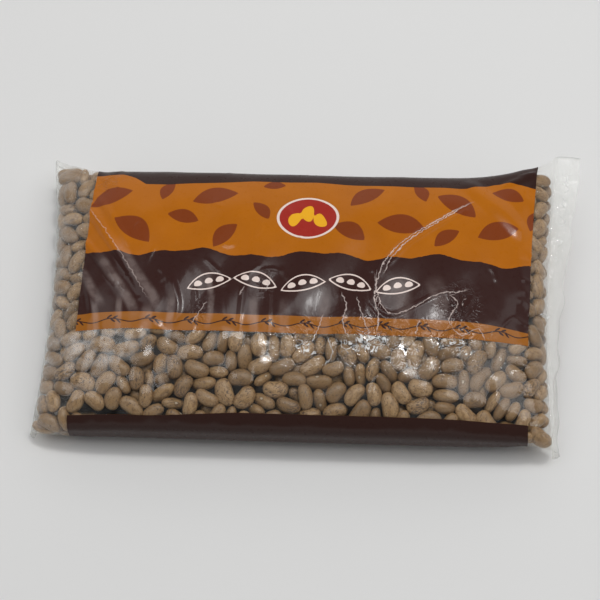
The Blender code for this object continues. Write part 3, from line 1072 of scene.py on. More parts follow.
class Bench:
    """Places nodes in a tree and joins them. A value may be a number, a vector, a colour or a socket."""

    def __init__(self, tree):
        self.tree = tree

    def node(self, kind, **settings):
        """A new node with these settings."""
        node = self.tree.nodes.new(kind)
        for name, value in settings.items():
            setattr(node, name, value)
        return node

    def feed(self, socket, value):
        """Joins a socket to a socket, or sets its value."""
        if isinstance(value, bpy.types.NodeSocket):
            self.tree.links.new(value, socket)
        else:
            socket.default_value = value

    def maths(self, operation, *values, clamp=False):
        """A Math node."""
        node = self.node("ShaderNodeMath", operation=operation, use_clamp=clamp)
        for socket, value in zip(node.inputs, values):
            self.feed(socket, value)
        return node.outputs[0]

    def vectors(self, operation, *values):
        """A Vector Math node."""
        node = self.node("ShaderNodeVectorMath", operation=operation)
        for socket, value in zip(node.inputs, values):
            self.feed(socket, value)
        return node.outputs[0]

    def parts(self, vector):
        """The x, y and z of a vector."""
        node = self.node("ShaderNodeSeparateXYZ")
        self.feed(node.inputs[0], vector)
        return node.outputs[0], node.outputs[1], node.outputs[2]

    def ramped(self, value, low, high, start=0.0, stop=1.0):
        """From start at low to stop at high, smooth between."""
        node = self.node("ShaderNodeMapRange", interpolation_type="SMOOTHSTEP")
        for socket, given in zip(node.inputs[:5], (value, low, high, start, stop)):
            self.feed(socket, given)
        return node.outputs[0]

    def mixed(self, share, one, two, blend="MIX"):
        """One colour mixed with another."""
        node = self.node("ShaderNodeMix", data_type="RGBA", blend_type=blend)
        self.feed(node.inputs[0], share)
        self.feed(node.inputs[6], one)
        self.feed(node.inputs[7], two)
        return node.outputs[2]

    def noise(self, place, scale, detail=2.0, roughness=0.5, distortion=0.0):
        """Soft noise, about 0.5."""
        node = self.node("ShaderNodeTexNoise")
        self.feed(node.inputs["Vector"], place)
        node.inputs["Scale"].default_value = scale
        node.inputs["Detail"].default_value = detail
        node.inputs["Roughness"].default_value = roughness
        node.inputs["Distortion"].default_value = distortion
        return node.outputs[0]

    def attribute(self, name, output="Fac"):
        """What the mesh holds under this name."""
        return self.node("ShaderNodeAttribute", attribute_name=name).outputs[output]

    def both(self, one, two):
        """Where both masks are set."""
        return self.maths("MULTIPLY", one, two)

    def either(self, one, two):
        """Where either mask is set."""
        return self.maths("MAXIMUM", one, two)


def new_group(name, inputs, outputs):
    """A shader node group with named inputs and outputs, and its bench and end nodes."""
    tree = bpy.data.node_groups.new(name, "ShaderNodeTree")
    for label, kind in inputs.items():
        tree.interface.new_socket(name=label, in_out="INPUT", socket_type=kind)
    for label, kind in outputs.items():
        tree.interface.new_socket(name=label, in_out="OUTPUT", socket_type=kind)
    bench = Bench(tree)
    return bench, bench.node("NodeGroupInput").outputs, bench.node("NodeGroupOutput").inputs


def use_group(bench, name, **values):
    """A node group in a material, fed by its inputs' names with _ for spaces."""
    node = bench.node("ShaderNodeGroup", node_tree=bpy.data.node_groups[name])
    for label, value in values.items():
        bench.feed(node.inputs[label.replace("_", " ")], value)
    return node.outputs


def new_material(name):
    """An empty material with its bench and its output's surface socket."""
    material = bpy.data.materials.new(name)
    material.use_nodes = True
    material.node_tree.nodes.clear()
    bench = Bench(material.node_tree)
    return material, bench, bench.node("ShaderNodeOutputMaterial").inputs["Surface"]


def seed_coat_group():
    """The speckles and the slow mottling of a bean's skin."""
    inputs = {"Place": "NodeSocketVector", "Seed": "NodeSocketFloat", "Amount": "NodeSocketFloat"}
    outputs = {"Speckles": "NodeSocketFloat", "Mottle": "NodeSocketFloat"}
    bench, given, out = new_group("seed coat", inputs, outputs)
    offset = bench.node("ShaderNodeCombineXYZ")
    for socket, step in zip(offset.inputs, (31.0, 17.0, 53.0)):
        bench.feed(socket, bench.maths("MULTIPLY", given["Seed"], step))
    place = bench.vectors("ADD", given["Place"], offset.outputs[0])
    streaky = bench.vectors("MULTIPLY", place, (0.75, 1.0, 1.0))
    fine = bench.noise(streaky, 5.6, 2.0, 0.5, 0.2)
    patches = bench.noise(place, 1.3, 1.0)
    level = bench.maths("ADD", fine, bench.maths("MULTIPLY", bench.maths("SUBTRACT", patches, 0.5), 0.35))
    edge = bench.maths("SUBTRACT", 0.70, bench.maths("MULTIPLY", given["Amount"], 0.19))
    above = bench.maths("SUBTRACT", level, edge)
    dots = bench.ramped(bench.noise(place, 7.5, 1.0), 0.615, 0.655, 0.0, 0.85)
    bench.feed(out["Speckles"], bench.either(bench.ramped(above, 0.0, 0.05), dots))
    bench.feed(out["Mottle"], bench.noise(place, 2.1, 3.0, 0.6))


def film_creases_group():
    """How creases and crumples raise the film, in metres, and the thin pale lines of the sharpest, partly whitened
    film and partly painted glints.
    """
    inputs = {
        "Place": "NodeSocketVector",
        "First creases": "NodeSocketVector",
        "Second creases": "NodeSocketVector",
        "Crumple": "NodeSocketFloat",
    }
    outputs = {"Height": "NodeSocketFloat", "Lines": "NodeSocketFloat"}
    bench, given, out = new_group("film creases", inputs, outputs)
    place = given["Place"]
    jagged = bench.maths("MULTIPLY", bench.maths("SUBTRACT", bench.noise(place, 420.0, 2.0), 0.5), 0.0024)
    lines = None
    for label in ("First creases", "Second creases"):
        signed, unsigned, weight = bench.parts(given[label])
        away = bench.maths("ABSOLUTE", bench.maths("ADD", signed, jagged))
        line = bench.ramped(away, 0.00005, 0.00042, 1.0, 0.0)
        near = bench.ramped(unsigned, 0.0009, 0.0014, 1.0, 0.0)
        line = bench.both(bench.both(line, near), weight)
        lines = line if lines is None else bench.either(lines, line)
    slow = bench.noise(bench.vectors("MULTIPLY", place, (1.0, 0.55, 1.0)), 42.0, 2.0, 0.5, 0.3)
    small = bench.noise(bench.vectors("MULTIPLY", place, (1.0, 0.45, 1.0)), 150.0, 2.0, 0.55, 0.6)
    folded = bench.noise(place, 210.0, 2.0, 0.5, 1.2)
    ridges = bench.maths("ABSOLUTE", bench.maths("SUBTRACT", folded, 0.5))
    ridges = bench.ramped(ridges, 0.0, 0.09, 1.0, 0.0)
    height = bench.maths("MULTIPLY", slow, 0.0007)
    height = bench.maths("ADD", height, bench.maths("MULTIPLY", small, 0.0001))
    broken = bench.ramped(bench.noise(place, 95.0, 2.0), 0.44, 0.56)
    # Painted glints: thin bright lines along the ridges of crumpled places, broken up by noise
    crumple_glints = bench.both(bench.ramped(bench.both(ridges, given["Crumple"]), 0.5, 0.72), broken)
    lines = bench.either(lines, crumple_glints)
    crumpled = bench.both(ridges, bench.maths("MULTIPLY", given["Crumple"], 0.0006))
    height = bench.maths("ADD", height, crumpled)
    height = bench.maths("ADD", height, bench.maths("MULTIPLY", lines, 0.0003))
    bench.feed(out["Height"], height)
    bench.feed(out["Lines"], lines)


def crease_nodes(bench):
    """The film's creases placed in a material: its normal and the mask of its pale lines, partly whitened film and
    partly painted glints.
    """
    creases = use_group(
        bench,
        "film creases",
        Place=bench.attribute("film_place", "Vector"),
        First_creases=bench.attribute("first_creases", "Vector"),
        Second_creases=bench.attribute("second_creases", "Vector"),
        Crumple=bench.attribute("crumple"),
    )
    bump = bench.node("ShaderNodeBump")
    bump.inputs["Strength"].default_value = 1.0
    bump.inputs["Distance"].default_value = 1.0
    bench.feed(bump.inputs["Height"], creases["Height"])
    return bump.outputs[0], creases["Lines"]


def bean_skin(colours):
    """Tan skin with dark brown speckles and streaks, each bean a little different, and a pale eye."""
    material, bench, surface = new_material("bean skin")
    place = bench.attribute("bean_place", "Vector")
    tone = bench.attribute("bean_tone")
    own = bench.maths("FRACT", bench.maths("MULTIPLY", tone, 7.31))
    amount = bench.maths("POWER", own, 4.5)
    coat = use_group(bench, "seed coat", Place=place, Seed=tone, Amount=amount)
    skin = bench.mixed(tone, solid(colours.skin_dark), solid(colours.skin_light))
    skin = bench.mixed(bench.ramped(coat["Mottle"], 0.38, 0.68), skin, solid(colours.skin_warm))
    skin = bench.mixed(bench.maths("MULTIPLY", coat["Speckles"], 0.88), skin, solid(colours.speckles))
    x, y, z = bench.parts(place)
    across = bench.maths("POWER", bench.maths("DIVIDE", x, 0.14), 2.0)
    up = bench.maths("POWER", bench.maths("DIVIDE", z, 0.2), 2.0)
    ring = bench.maths("SQRT", bench.maths("ADD", across, up))
    front = bench.ramped(y, -0.6, -0.35, 1.0, 0.0)
    rim = bench.both(bench.ramped(ring, 1.25, 1.6, 1.0, 0.0), front)
    eye = bench.both(bench.ramped(ring, 0.75, 1.0, 1.0, 0.0), front)
    skin = bench.mixed(bench.maths("MULTIPLY", rim, 0.4), skin, solid(colours.speckles))
    skin = bench.mixed(bench.maths("MULTIPLY", eye, 0.55), skin, solid(colours.bean_eye))
    shader = bench.node("ShaderNodeBsdfPrincipled")
    bench.feed(shader.inputs["Base Color"], skin)
    bench.feed(shader.inputs["Roughness"], bench.ramped(coat["Mottle"], 0.3, 0.7, 0.34, 0.5))
    bump = bench.node("ShaderNodeBump")
    bump.inputs["Distance"].default_value = 1.0
    fine = bench.noise(place, 9.0, 3.0, 0.6)
    bench.feed(bump.inputs["Height"], bench.maths("MULTIPLY", fine, 0.00009))
    bench.feed(shader.inputs["Normal"], bump.outputs[0])
    bench.feed(surface, shader.outputs[0])
    return material


def shaded_beans(colours):
    """The dark brown of beans that lie deep between the others."""
    material, bench, surface = new_material("beans in shade")
    place = bench.node("ShaderNodeTexCoord").outputs["Object"]
    close = bench.vectors("MULTIPLY", place, (160.0, 160.0, 160.0))
    coat = use_group(bench, "seed coat", Place=close, Seed=0.0, Amount=0.7)
    skin = bench.mixed(coat["Mottle"], solid(colours.speckles), solid(colours.deep_skin))
    skin = bench.mixed(bench.maths("MULTIPLY", coat["Speckles"], 0.6), skin, solid(colours.speckles))
    shader = bench.node("ShaderNodeBsdfPrincipled")
    bench.feed(shader.inputs["Base Color"], skin)
    bench.feed(shader.inputs["Roughness"], bench.ramped(coat["Mottle"], 0.3, 0.7, 0.55, 0.7))
    bump = bench.node("ShaderNodeBump")
    bump.inputs["Distance"].default_value = 1.0
    bench.feed(bump.inputs["Height"], bench.maths("MULTIPLY", coat["Mottle"], 0.0004))
    bench.feed(shader.inputs["Normal"], bump.outputs[0])
    bench.feed(surface, shader.outputs[0])
    return material


# The printed bands, in metres across the film, and the waves of the edge between orange and brown
BAND_EDGE = 0.0112
THIN_BAND = (-0.0328, -0.0238)
VINE_PERIOD = 0.0195
VINE_SWING = 0.0010


def edge_waves(bench, x, y):
    """How far each place lies above the uneven edge between the orange field and the brown one."""
    slow = bench.maths("SINE", bench.maths("MULTIPLY_ADD", x, 2 * math.pi / 0.062, 0.7))
    quick = bench.maths("SINE", bench.maths("MULTIPLY_ADD", x, 2 * math.pi / 0.0235, 1.9))
    swing = bench.maths("ADD", bench.maths("MULTIPLY", slow, 0.0016), bench.maths("MULTIPLY", quick, 0.0009))
    line = bench.node("ShaderNodeCombineXYZ")
    bench.feed(line.inputs[0], x)
    rough = bench.maths("SUBTRACT", bench.noise(line.outputs[0], 190.0, 3.0), 0.5)
    swing = bench.maths("ADD", swing, bench.maths("MULTIPLY", rough, 0.0016))
    return bench.maths("SUBTRACT", y, bench.maths("ADD", swing, BAND_EDGE))


def above(bench, value, edge):
    """1 where a value is over an edge, 0 under it, with a thin soft step."""
    return bench.ramped(value, edge - 0.00009, edge + 0.00009)


def vine(bench, x, y):
    """A thin wavy stem with pairs of small leaves."""
    middle = sum(THIN_BAND) / 2
    turn = bench.maths("MULTIPLY", x, 2 * math.pi / VINE_PERIOD)
    swing = bench.maths("MULTIPLY", bench.maths("SINE", turn), VINE_SWING)
    off = bench.maths("SUBTRACT", bench.maths("SUBTRACT", y, middle), swing)
    stem = bench.ramped(bench.maths("ABSOLUTE", off), 0.0002, 0.00042, 1.0, 0.0)
    mask = stem
    for along, lift, lean in ((0.20, 0.0011, 0.5), (0.30, -0.0011, -0.5), (0.36, 0.0009, 0.6), (0.45, -0.0009, -0.6)):
        share = bench.maths("FRACT", bench.maths("DIVIDE", x, VINE_PERIOD))
        dx = bench.maths("MULTIPLY", bench.maths("SUBTRACT", share, along), VINE_PERIOD)
        dy = bench.maths("SUBTRACT", off, lift)
        dy = bench.maths("SUBTRACT", dy, bench.maths("MULTIPLY", dx, lean))
        long = bench.maths("POWER", bench.maths("DIVIDE", dx, 0.0013), 2.0)
        tall = bench.maths("POWER", bench.maths("DIVIDE", dy, 0.0006), 2.0)
        leaf = bench.ramped(bench.maths("ADD", long, tall), 0.8, 1.2, 1.0, 0.0)
        mask = bench.either(mask, leaf)
    return mask


def printed_film(colours):
    """Glossy creased film printed with an orange field, brown bands, leaves, a badge and a row of pods, with painted
    sheen on its soft folds and pale crease lines that are partly whitened film and partly painted glints.
    """
    material, bench, surface = new_material("printed film")
    x, y, _ = bench.parts(bench.attribute("film_place", "Vector"))
    back = above(bench, bench.maths("ABSOLUTE", y), BACK_STRIPS)
    front = bench.maths("SUBTRACT", 1.0, back)
    orange = bench.mixed(
        bench.noise(bench.attribute("film_place", "Vector"), 60.0, 3.0),
        solid(colours.orange),
        solid(colours.orange_deep),
    )
    ink = orange
    leaves = bench.both(bench.ramped(bench.attribute("print_leaves"), -0.12, 0.12), front)
    ink = bench.mixed(leaves, ink, solid(colours.leaves))
    wave = edge_waves(bench, x, y)
    below = bench.maths("SUBTRACT", 1.0, above(bench, wave, 0.0))
    narrowed = bench.ramped(x, 0.085, 0.119, 0.0, 0.0022)
    over_thin = above(bench, bench.maths("ADD", y, narrowed), THIN_BAND[1])
    band = bench.both(bench.both(below, over_thin), front)
    ink = bench.mixed(band, ink, solid(colours.brown))
    thin = bench.both(bench.maths("SUBTRACT", 1.0, over_thin), front)
    ink = bench.mixed(thin, ink, solid(colours.thin_orange))
    ink = bench.mixed(bench.both(thin, vine(bench, x, y)), ink, solid(colours.brown))

    from_line = bench.maths("ABSOLUTE", bench.maths("SUBTRACT", bench.attribute("print_pods"), POD_LINE))
    outline = bench.ramped(from_line, POD_LINE, POD_LINE + 0.15, 1.0, 0.0)
    seeds = bench.ramped(bench.attribute("print_seeds"), -0.1, 0.1)
    ink = bench.mixed(bench.both(bench.either(outline, seeds), band), ink, solid(colours.cream))
    badge = bench.attribute("print_badge")
    ink = bench.mixed(bench.both(bench.ramped(badge, -0.1, 0.1), front), ink, solid(colours.cream))
    ink = bench.mixed(bench.both(bench.ramped(badge, BADGE_RIM - 0.1, BADGE_RIM + 0.1), front), ink, solid(colours.badge))
    gold = bench.both(bench.ramped(bench.attribute("print_gold"), -0.1, 0.1), front)
    ink = bench.mixed(gold, ink, solid(colours.gold))

    strips = bench.both(bench.ramped(bench.attribute("print_strips"), -0.1, 0.1), front)
    ink = bench.mixed(strips, ink, solid(colours.strip))

    normal, lines = crease_nodes(bench)
    # Painted sheen: the print is lightened along soft folds, broken up by noise, standing for the sheen of a light
    uneven = bench.ramped(bench.noise(bench.attribute("film_place", "Vector"), 130.0, 3.0, 0.6), 0.3, 0.65, 0.35, 1.0)
    folds = bench.both(bench.attribute("soft_folds"), uneven)
    ink = bench.mixed(bench.maths("MULTIPLY", folds, 0.2), ink, solid(colours.whitening_and_sheen))
    # Partly real, partly painted: thin crease lines are lightened as whitened film and as painted glints
    ink = bench.mixed(bench.maths("MULTIPLY", lines, 0.8), ink, solid(colours.whitening_and_sheen))
    shader = bench.node("ShaderNodeBsdfPrincipled")
    bench.feed(shader.inputs["Base Color"], ink)
    rough = bench.noise(bench.attribute("film_place", "Vector"), 300.0, 3.0)
    bench.feed(shader.inputs["Roughness"], bench.ramped(rough, 0.3, 0.7, 0.26, 0.38))
    shader.inputs["Specular IOR Level"].default_value = 0.05
    bench.feed(shader.inputs["Coat Weight"], bench.ramped(y, 0.045, 0.07, 0.31, 0.15))
    shader.inputs["Coat Roughness"].default_value = 0.15
    bench.feed(shader.inputs["Normal"], normal)
    bench.feed(shader.inputs["Coat Normal"], normal)
    bench.feed(surface, shader.outputs[0])
    return material


def clear_film(colours, name, milkiness):
    """Thin clear film: beans show through it, it shines on its creases and casts no shadow. Its haze also carries
    painted glare on the window, painted sheen on soft folds and painted glints on creases.
    """
    material, bench, surface = new_material(name)
    normal, lines = crease_nodes(bench)
    place = bench.attribute("film_place", "Vector")
    x, film, _ = bench.parts(place)
    fin = bench.ramped(bench.maths("ABSOLUTE", x), 0.1295, 0.1315)
    cloud = bench.noise(place, 130.0, 3.0, 0.6)
    haze = bench.ramped(cloud, 0.35, 0.75, milkiness, milkiness + 0.03)
    # Painted glare on the window's left part
    x0, y0, long, wide, strength = GLARE_PATCH
    aside = bench.maths("POWER", bench.maths("DIVIDE", bench.maths("SUBTRACT", x, x0), long), 2.0)
    above_it = bench.maths("POWER", bench.maths("DIVIDE", bench.maths("SUBTRACT", film, y0), wide), 2.0)
    patch = bench.ramped(bench.maths("ADD", aside, above_it), 0.1, 1.0, strength, 0.0)
    left_end = bench.ramped(x, -0.126, -0.108, 0.1, 0.0)
    haze = bench.maths("ADD", haze, bench.both(left_end, bench.ramped(cloud, 0.3, 0.6)))
    haze = bench.maths("ADD", haze, bench.both(patch, bench.ramped(cloud, 0.35, 0.65)))
    haze = bench.maths("ADD", haze, bench.maths("MULTIPLY", fin, 0.16))
    # Painted glints: crease lines turn whiter, partly as whitened film and partly as glints of light
    haze = bench.maths("ADD", haze, bench.maths("MULTIPLY", lines, 0.75))
    # Painted sheen along the soft folds
    folds = bench.both(bench.attribute("soft_folds"), bench.ramped(cloud, 0.3, 0.6))
    haze = bench.maths("ADD", haze, bench.maths("MULTIPLY", folds, 0.4))
    clear = bench.node("ShaderNodeBsdfTransparent")
    clear.inputs["Color"].default_value = solid(colours.film_tint)
    milky_and_glare = bench.node("ShaderNodeBsdfPrincipled")
    milky_and_glare.inputs["Base Color"].default_value = solid(colours.haze_and_glare_white)
    milky_and_glare.inputs["Roughness"].default_value = 0.35
    bench.feed(milky_and_glare.inputs["Normal"], normal)
    body = bench.node("ShaderNodeMixShader")
    bench.feed(body.inputs[0], haze)
    bench.feed(body.inputs[1], clear.outputs[0])
    bench.feed(body.inputs[2], milky_and_glare.outputs[0])
    gloss = bench.node("ShaderNodeBsdfGlossy")
    gloss.inputs["Color"].default_value = (1.0, 1.0, 1.0, 1.0)
    gloss.inputs["Roughness"].default_value = 0.11
    bench.feed(gloss.inputs["Normal"], normal)
    rim = bench.node("ShaderNodeFresnel")
    rim.inputs["IOR"].default_value = 1.5
    bench.feed(rim.inputs["Normal"], normal)
    shiny = bench.node("ShaderNodeMixShader")
    bench.feed(shiny.inputs[0], bench.maths("MINIMUM", rim.outputs[0], 0.22))
    bench.feed(shiny.inputs[1], body.outputs[0])
    bench.feed(shiny.inputs[2], gloss.outputs[0])
    unshaded = bench.node("ShaderNodeMixShader")
    bench.feed(unshaded.inputs[0], bench.node("ShaderNodeLightPath").outputs["Is Shadow Ray"])
    bench.feed(unshaded.inputs[1], shiny.outputs[0])
    bench.feed(unshaded.inputs[2], clear.outputs[0])
    bench.feed(surface, unshaded.outputs[0])
    return material


def pale_floor(colours):
    """Smooth matt paper."""
    material, bench, surface = new_material("pale floor")
    place = bench.node("ShaderNodeTexCoord").outputs["Object"]
    shade = bench.noise(place, 3.0, 2.0)
    colour = bench.mixed(shade, solid(colours.floor), solid(tuple(0.985 * value for value in colours.floor)))
    shader = bench.node("ShaderNodeBsdfPrincipled")
    bench.feed(shader.inputs["Base Color"], colour)
    shader.inputs["Roughness"].default_value = 0.85
    shader.inputs["Specular IOR Level"].default_value = 0.2
    bench.feed(surface, shader.outputs[0])
    return material


def showing_beans(pillow, centres):
    """The beans near enough to clear film to be seen through it."""
    along = np.linspace(-pillow.length / 2, pillow.length / 2, PLACE_ROWS)
    across = np.linspace(-pillow.film_width, pillow.film_width, PLACE_COLUMNS)
    tree = KDTree(PLACE_ROWS * PLACE_COLUMNS)
    places = []
    for x in along:
        for film, point in zip(across, pillow.bowed(pillow.ring(x, across))):
            tree.insert(point, len(places))
            places.append((x, film))
    tree.balance()
    chosen = []
    for number, centre in enumerate(centres):
        _, index, depth = tree.find(centre)
        x, film = places[index]
        end = x < PRINT_ENDS[0] + SHOWING_MARGIN or x > PRINT_ENDS[1] - SHOWING_MARGIN
        window = WINDOW[0] - SHOWING_MARGIN < film < WINDOW[1] + SHOWING_MARGIN
        if depth < SHOWING_DEPTH and (end or window):
            chosen.append(number)
    return np.array(chosen)


def make_beans():
    """The beans that show through clear film, as one mesh."""
    scene = bpy.context.scene
    pillow = Pillow(scene.bag_form)
    beans = all_beans()
    chosen = showing_beans(pillow, beans[0])
    points, faces, local, numbers = placed_beans(beans, chosen, BEAN_SIDES, BEAN_RINGS)
    mesh = mesh_from("beans", points, faces)
    tones = np.random.default_rng(SEED + 2).random(len(chosen))
    give_vectors(mesh, "bean_place", local)
    give_numbers(mesh, "bean_tone", tones[numbers])
    add_piece(mesh, bean_skin(scene.bag_colours))


def make_heap():
    """The beans that lie deeper, as one dark uneven mass behind those that show."""
    scene = bpy.context.scene
    form = scene.bag_form
    sizes = Sizes(form.length - 2.2 * HEAP_SINK, form.film_width - 3.2 * HEAP_SINK, form.thickness - 2 * HEAP_SINK)
    pillow = Pillow(sizes)
    rows = pillow.length / 2 * np.sin(math.pi / 2 * np.linspace(-1, 1, HEAP_ROWS))
    columns = np.linspace(-pillow.film_width, pillow.film_width, HEAP_COLUMNS, endpoint=False)
    grid = pillow.bowed(np.array([pillow.ring(x, columns) for x in rows]))
    grid[..., 2] += HEAP_SINK * (0.2 + 0.8 * ramp(pillow.inset(rows) / 0.035))[:, None]
    closed = np.concatenate([grid, grid[:, :1]], axis=1)
    normals = grid_normals(closed)[:, :-1]
    places = grid.reshape(-1, 3)
    bumps = np.random.default_rng(SEED + 3).permutation(len(places))[: len(places) // 6]
    tree = KDTree(len(bumps))
    for number, bump in enumerate(bumps):
        tree.insert(places[bump], number)
    tree.balance()
    gaps = np.array([tree.find(place)[2] for place in places]).reshape(grid.shape[:2])
    hold = ramp(pillow.inset(rows) / 0.01)[:, None]
    grid = grid - normals * (np.minimum(gaps, 0.005) * 0.5 * hold)[..., None]
    grid += frame_shift(form)
    i, j = np.meshgrid(np.arange(HEAP_ROWS - 1), np.arange(HEAP_COLUMNS), indexing="ij")
    i = i.ravel()
    j = j.ravel()
    after = (j + 1) % HEAP_COLUMNS
    first = i * HEAP_COLUMNS
    second = first + HEAP_COLUMNS
    faces = np.stack([first + j, second + j, second + after, first + after], axis=1)
    mesh = mesh_from("bean_heap", grid.reshape(-1, 3), faces)
    add_piece(mesh, shaded_beans(scene.bag_colours))


def line_field(points, lines):
    """Signed and plain distance to the nearest of some thin creases, and its strength there."""
    field = np.zeros((len(points), 3))
    field[:, 1] = 1.0
    for given, strength in lines:
        line = smooth_line(given) * MM
        low = line.min(axis=0) - 0.004
        high = line.max(axis=0) + 0.004
        inside = np.nonzero(((points > low) & (points < high)).all(axis=1))[0]
        if len(inside) == 0:
            continue
        starts = line[:-1]
        steps = np.diff(line, axis=0)
        offset = points[inside][:, None, :] - starts[None]
        lengths = (steps**2).sum(axis=1)
        share = np.clip((offset * steps).sum(axis=2) / lengths, 0, 1)
        gaps = np.linalg.norm(offset - share[..., None] * steps, axis=2)
        nearest = gaps.argmin(axis=1)
        rows = np.arange(len(inside))
        gap = gaps[rows, nearest]
        turn = steps[nearest, 0] * offset[rows, nearest, 1] - steps[nearest, 1] * offset[rows, nearest, 0]
        run = (nearest + share[rows, nearest]) / len(steps)
        fade = ramp(run / 0.12) * ramp((1 - run) / 0.12)
        closer = gap < field[inside, 1]
        taken = inside[closer]
        field[taken, 0] = (gap * np.sign(turn))[closer]
        field[taken, 1] = gap[closer]
        field[taken, 2] = (fade * strength)[closer]
    field[:, 1] = np.minimum(field[:, 1], 0.01)
    return field


def crumpled_places(points):
    """How crumpled the film is at each place, 0 to 1."""
    crumple = np.zeros(len(points))
    for x, y, along, across, strength in CRUMPLES:
        gap = ((points[:, 0] / MM - x) / along) ** 2 + ((points[:, 1] / MM - y) / across) ** 2
        crumple = np.maximum(crumple, strength * np.exp(-gap))
    at_seal = ramp((np.abs(points[:, 0]) - SEAL_CRUMPLE[0]) / (SEAL_CRUMPLE[1] - SEAL_CRUMPLE[0]))
    return np.maximum(crumple, SEAL_CRUMPLE[2] * at_seal)


def fold_sheen_places(points):
    """How strongly painted sheen lightens the film at each place on its soft folds, 0 to 1."""
    folds = np.zeros(len(points))
    for given, width, strength in SHEEN_FOLDS:
        line = smooth_line(given) * MM
        width = width * MM
        low = line.min(axis=0) - 2 * width
        high = line.max(axis=0) + 2 * width
        inside = np.nonzero(((points > low) & (points < high)).all(axis=1))[0]
        gap, share = distance_to_line(points[inside], line)
        fade = ramp(share / 0.3) * ramp((1 - share) / 0.3)
        folds[inside] = np.maximum(folds[inside], strength * fade * ramp(1.5 - gap / width))
    return folds


def give_creases(mesh, x, film):
    """What the film's materials read for its fine creases, its crumples and the painted sheen of its soft folds."""
    points = np.stack([x, film], axis=1)
    give_vectors(mesh, "first_creases", line_field(points, FIRST_LINES))
    give_vectors(mesh, "second_creases", line_field(points, SECOND_LINES))
    give_numbers(mesh, "crumple", crumpled_places(points))
    give_numbers(mesh, "soft_folds", fold_sheen_places(points))


def make_film():
    """The film, split where its print ends."""
    scene = bpy.context.scene
    grid, along, across = draped_film()
    x = (along[:-1, :-1] + along[1:, 1:]) / 2
    film = (across[:-1, :-1] + across[1:, 1:]) / 2
    clear = is_clear(x, film)
    mesh, x, film = film_part("clear_film", grid, along, across, clear)
    give_creases(mesh, x, film)
    add_piece(mesh, clear_film(scene.bag_colours, "clear film", 0.0))
    mesh, x, film = film_part("printed_film", grid, along, across, ~clear)
    give_creases(mesh, x, film)
    for name, values in print_marks(x, film).items():
        give_numbers(mesh, name, values)
    add_piece(mesh, printed_film(scene.bag_colours))


def make_floor(studio, colours):
    """A wide pale floor under the bag."""
    half = studio.floor_size / 2
    points = np.array([(-half, -half, 0.0), (half, -half, 0.0), (half, half, 0.0), (-half, half, 0.0)])
    mesh = mesh_from("floor", points, np.array([(0, 1, 2, 3)]))
    mesh.materials.append(pale_floor(colours))
    floor = bpy.data.objects.new("floor", mesh)
    bpy.context.scene.collection.objects.link(floor)


def add_softbox(name, place, aim, size, power, colour):
    """A soft rectangular light that faces the bag."""
    light = bpy.data.lights.new(name, "AREA")
    light.shape = "RECTANGLE"
    light.size, light.size_y = size
    light.energy = power
    light.color = colour
    box = bpy.data.objects.new(name, light)
    box.location = place
    box.rotation_euler = (Vector(aim) - Vector(place)).to_track_quat("-Z", "Y").to_euler()
    bpy.context.scene.collection.objects.link(box)


def add_camera(studio, aim):
    """The camera, turned round the bag, raised, and rolled a little."""
    data = bpy.data.cameras.new("camera")
    data.sensor_width = 36.0
    data.lens = studio.lens
    azimuth = studio.azimuth
    elevation = studio.elevation
    flat = math.cos(elevation)
    back = Vector((math.sin(azimuth) * flat, -math.cos(azimuth) * flat, math.sin(elevation)))
    level = (-back).cross(Vector((0, 0, 1))).normalized()
    upright = level.cross(-back)
    right = level * math.cos(studio.roll) + upright * math.sin(studio.roll)
    up = upright * math.cos(studio.roll) - level * math.sin(studio.roll)
    camera = bpy.data.objects.new("camera", data)
    turn = Matrix((right, up, back)).transposed().to_4x4()
    camera.matrix_world = Matrix.Translation(Vector(aim) + back * studio.distance) @ turn
    bpy.context.scene.collection.objects.link(camera)
    bpy.context.scene.camera = camera


def light_world(studio):
    """The pale light that comes from all round."""
    world = bpy.data.worlds.new("studio")
    world.use_nodes = True
    bench = Bench(world.node_tree)
    background = world.node_tree.nodes["Background"]
    x, y, height = bench.parts(bench.node("ShaderNodeTexCoord").outputs["Generated"])
    behind = bench.maths("MULTIPLY", x, AMBIENT_TOWARDS[0])
    behind = bench.maths("MULTIPLY_ADD", y, AMBIENT_TOWARDS[1], behind)
    front, back, overhead = [
        solid(tuple(strength * value for value in LIGHT_COLOUR))
        for strength in (studio.ambient_front, studio.ambient_back, studio.ambient_top)
    ]
    front = bench.mixed(bench.ramped(height, 0.2, 0.42), front, overhead)
    back = bench.mixed(bench.ramped(height, 0.5, 0.72), back, overhead)
    bench.feed(background.inputs["Color"], bench.mixed(bench.ramped(behind, -0.2, 0.5), front, back))
    bpy.context.scene.world = world


class BagForm(PropertyGroup):
    """The filled bag's driving sizes."""

    length: FloatProperty(
        name="Length", description="From seal to seal", default=0.260, min=0.1, unit="LENGTH", subtype="DISTANCE"
    )
    film_width: FloatProperty(
        name="Film width", description="Width of the bag lying flat and empty", default=0.169, min=0.08,
        unit="LENGTH", subtype="DISTANCE",
    )
    thickness: FloatProperty(
        name="Thickness", description="Height of the filled bag", default=0.040, min=0.02,
        unit="LENGTH", subtype="DISTANCE",
    )


class BagBeans(PropertyGroup):
    """The beans' average size and how much they differ."""

    length: FloatProperty(
        name="Bean length", description="Average length", default=0.013, min=0.005, unit="LENGTH", subtype="DISTANCE"
    )
    width: FloatProperty(
        name="Bean width", description="Average width", default=0.0085, min=0.003, unit="LENGTH", subtype="DISTANCE"
    )
    height: FloatProperty(
        name="Bean height", description="Average height", default=0.0062, min=0.002, unit="LENGTH",
        subtype="DISTANCE",
    )
    variety: FloatProperty(
        name="Variety", description="How much sizes differ from the average", default=0.09, min=0.0, max=0.3
    )


def colour_property(name, description, red, green, blue):
    """A colour that a user may change, given as a display colour."""
    return FloatVectorProperty(
        name=name, description=description, subtype="COLOR", size=3, min=0.0, max=1.0, default=paint(red, green, blue)
    )


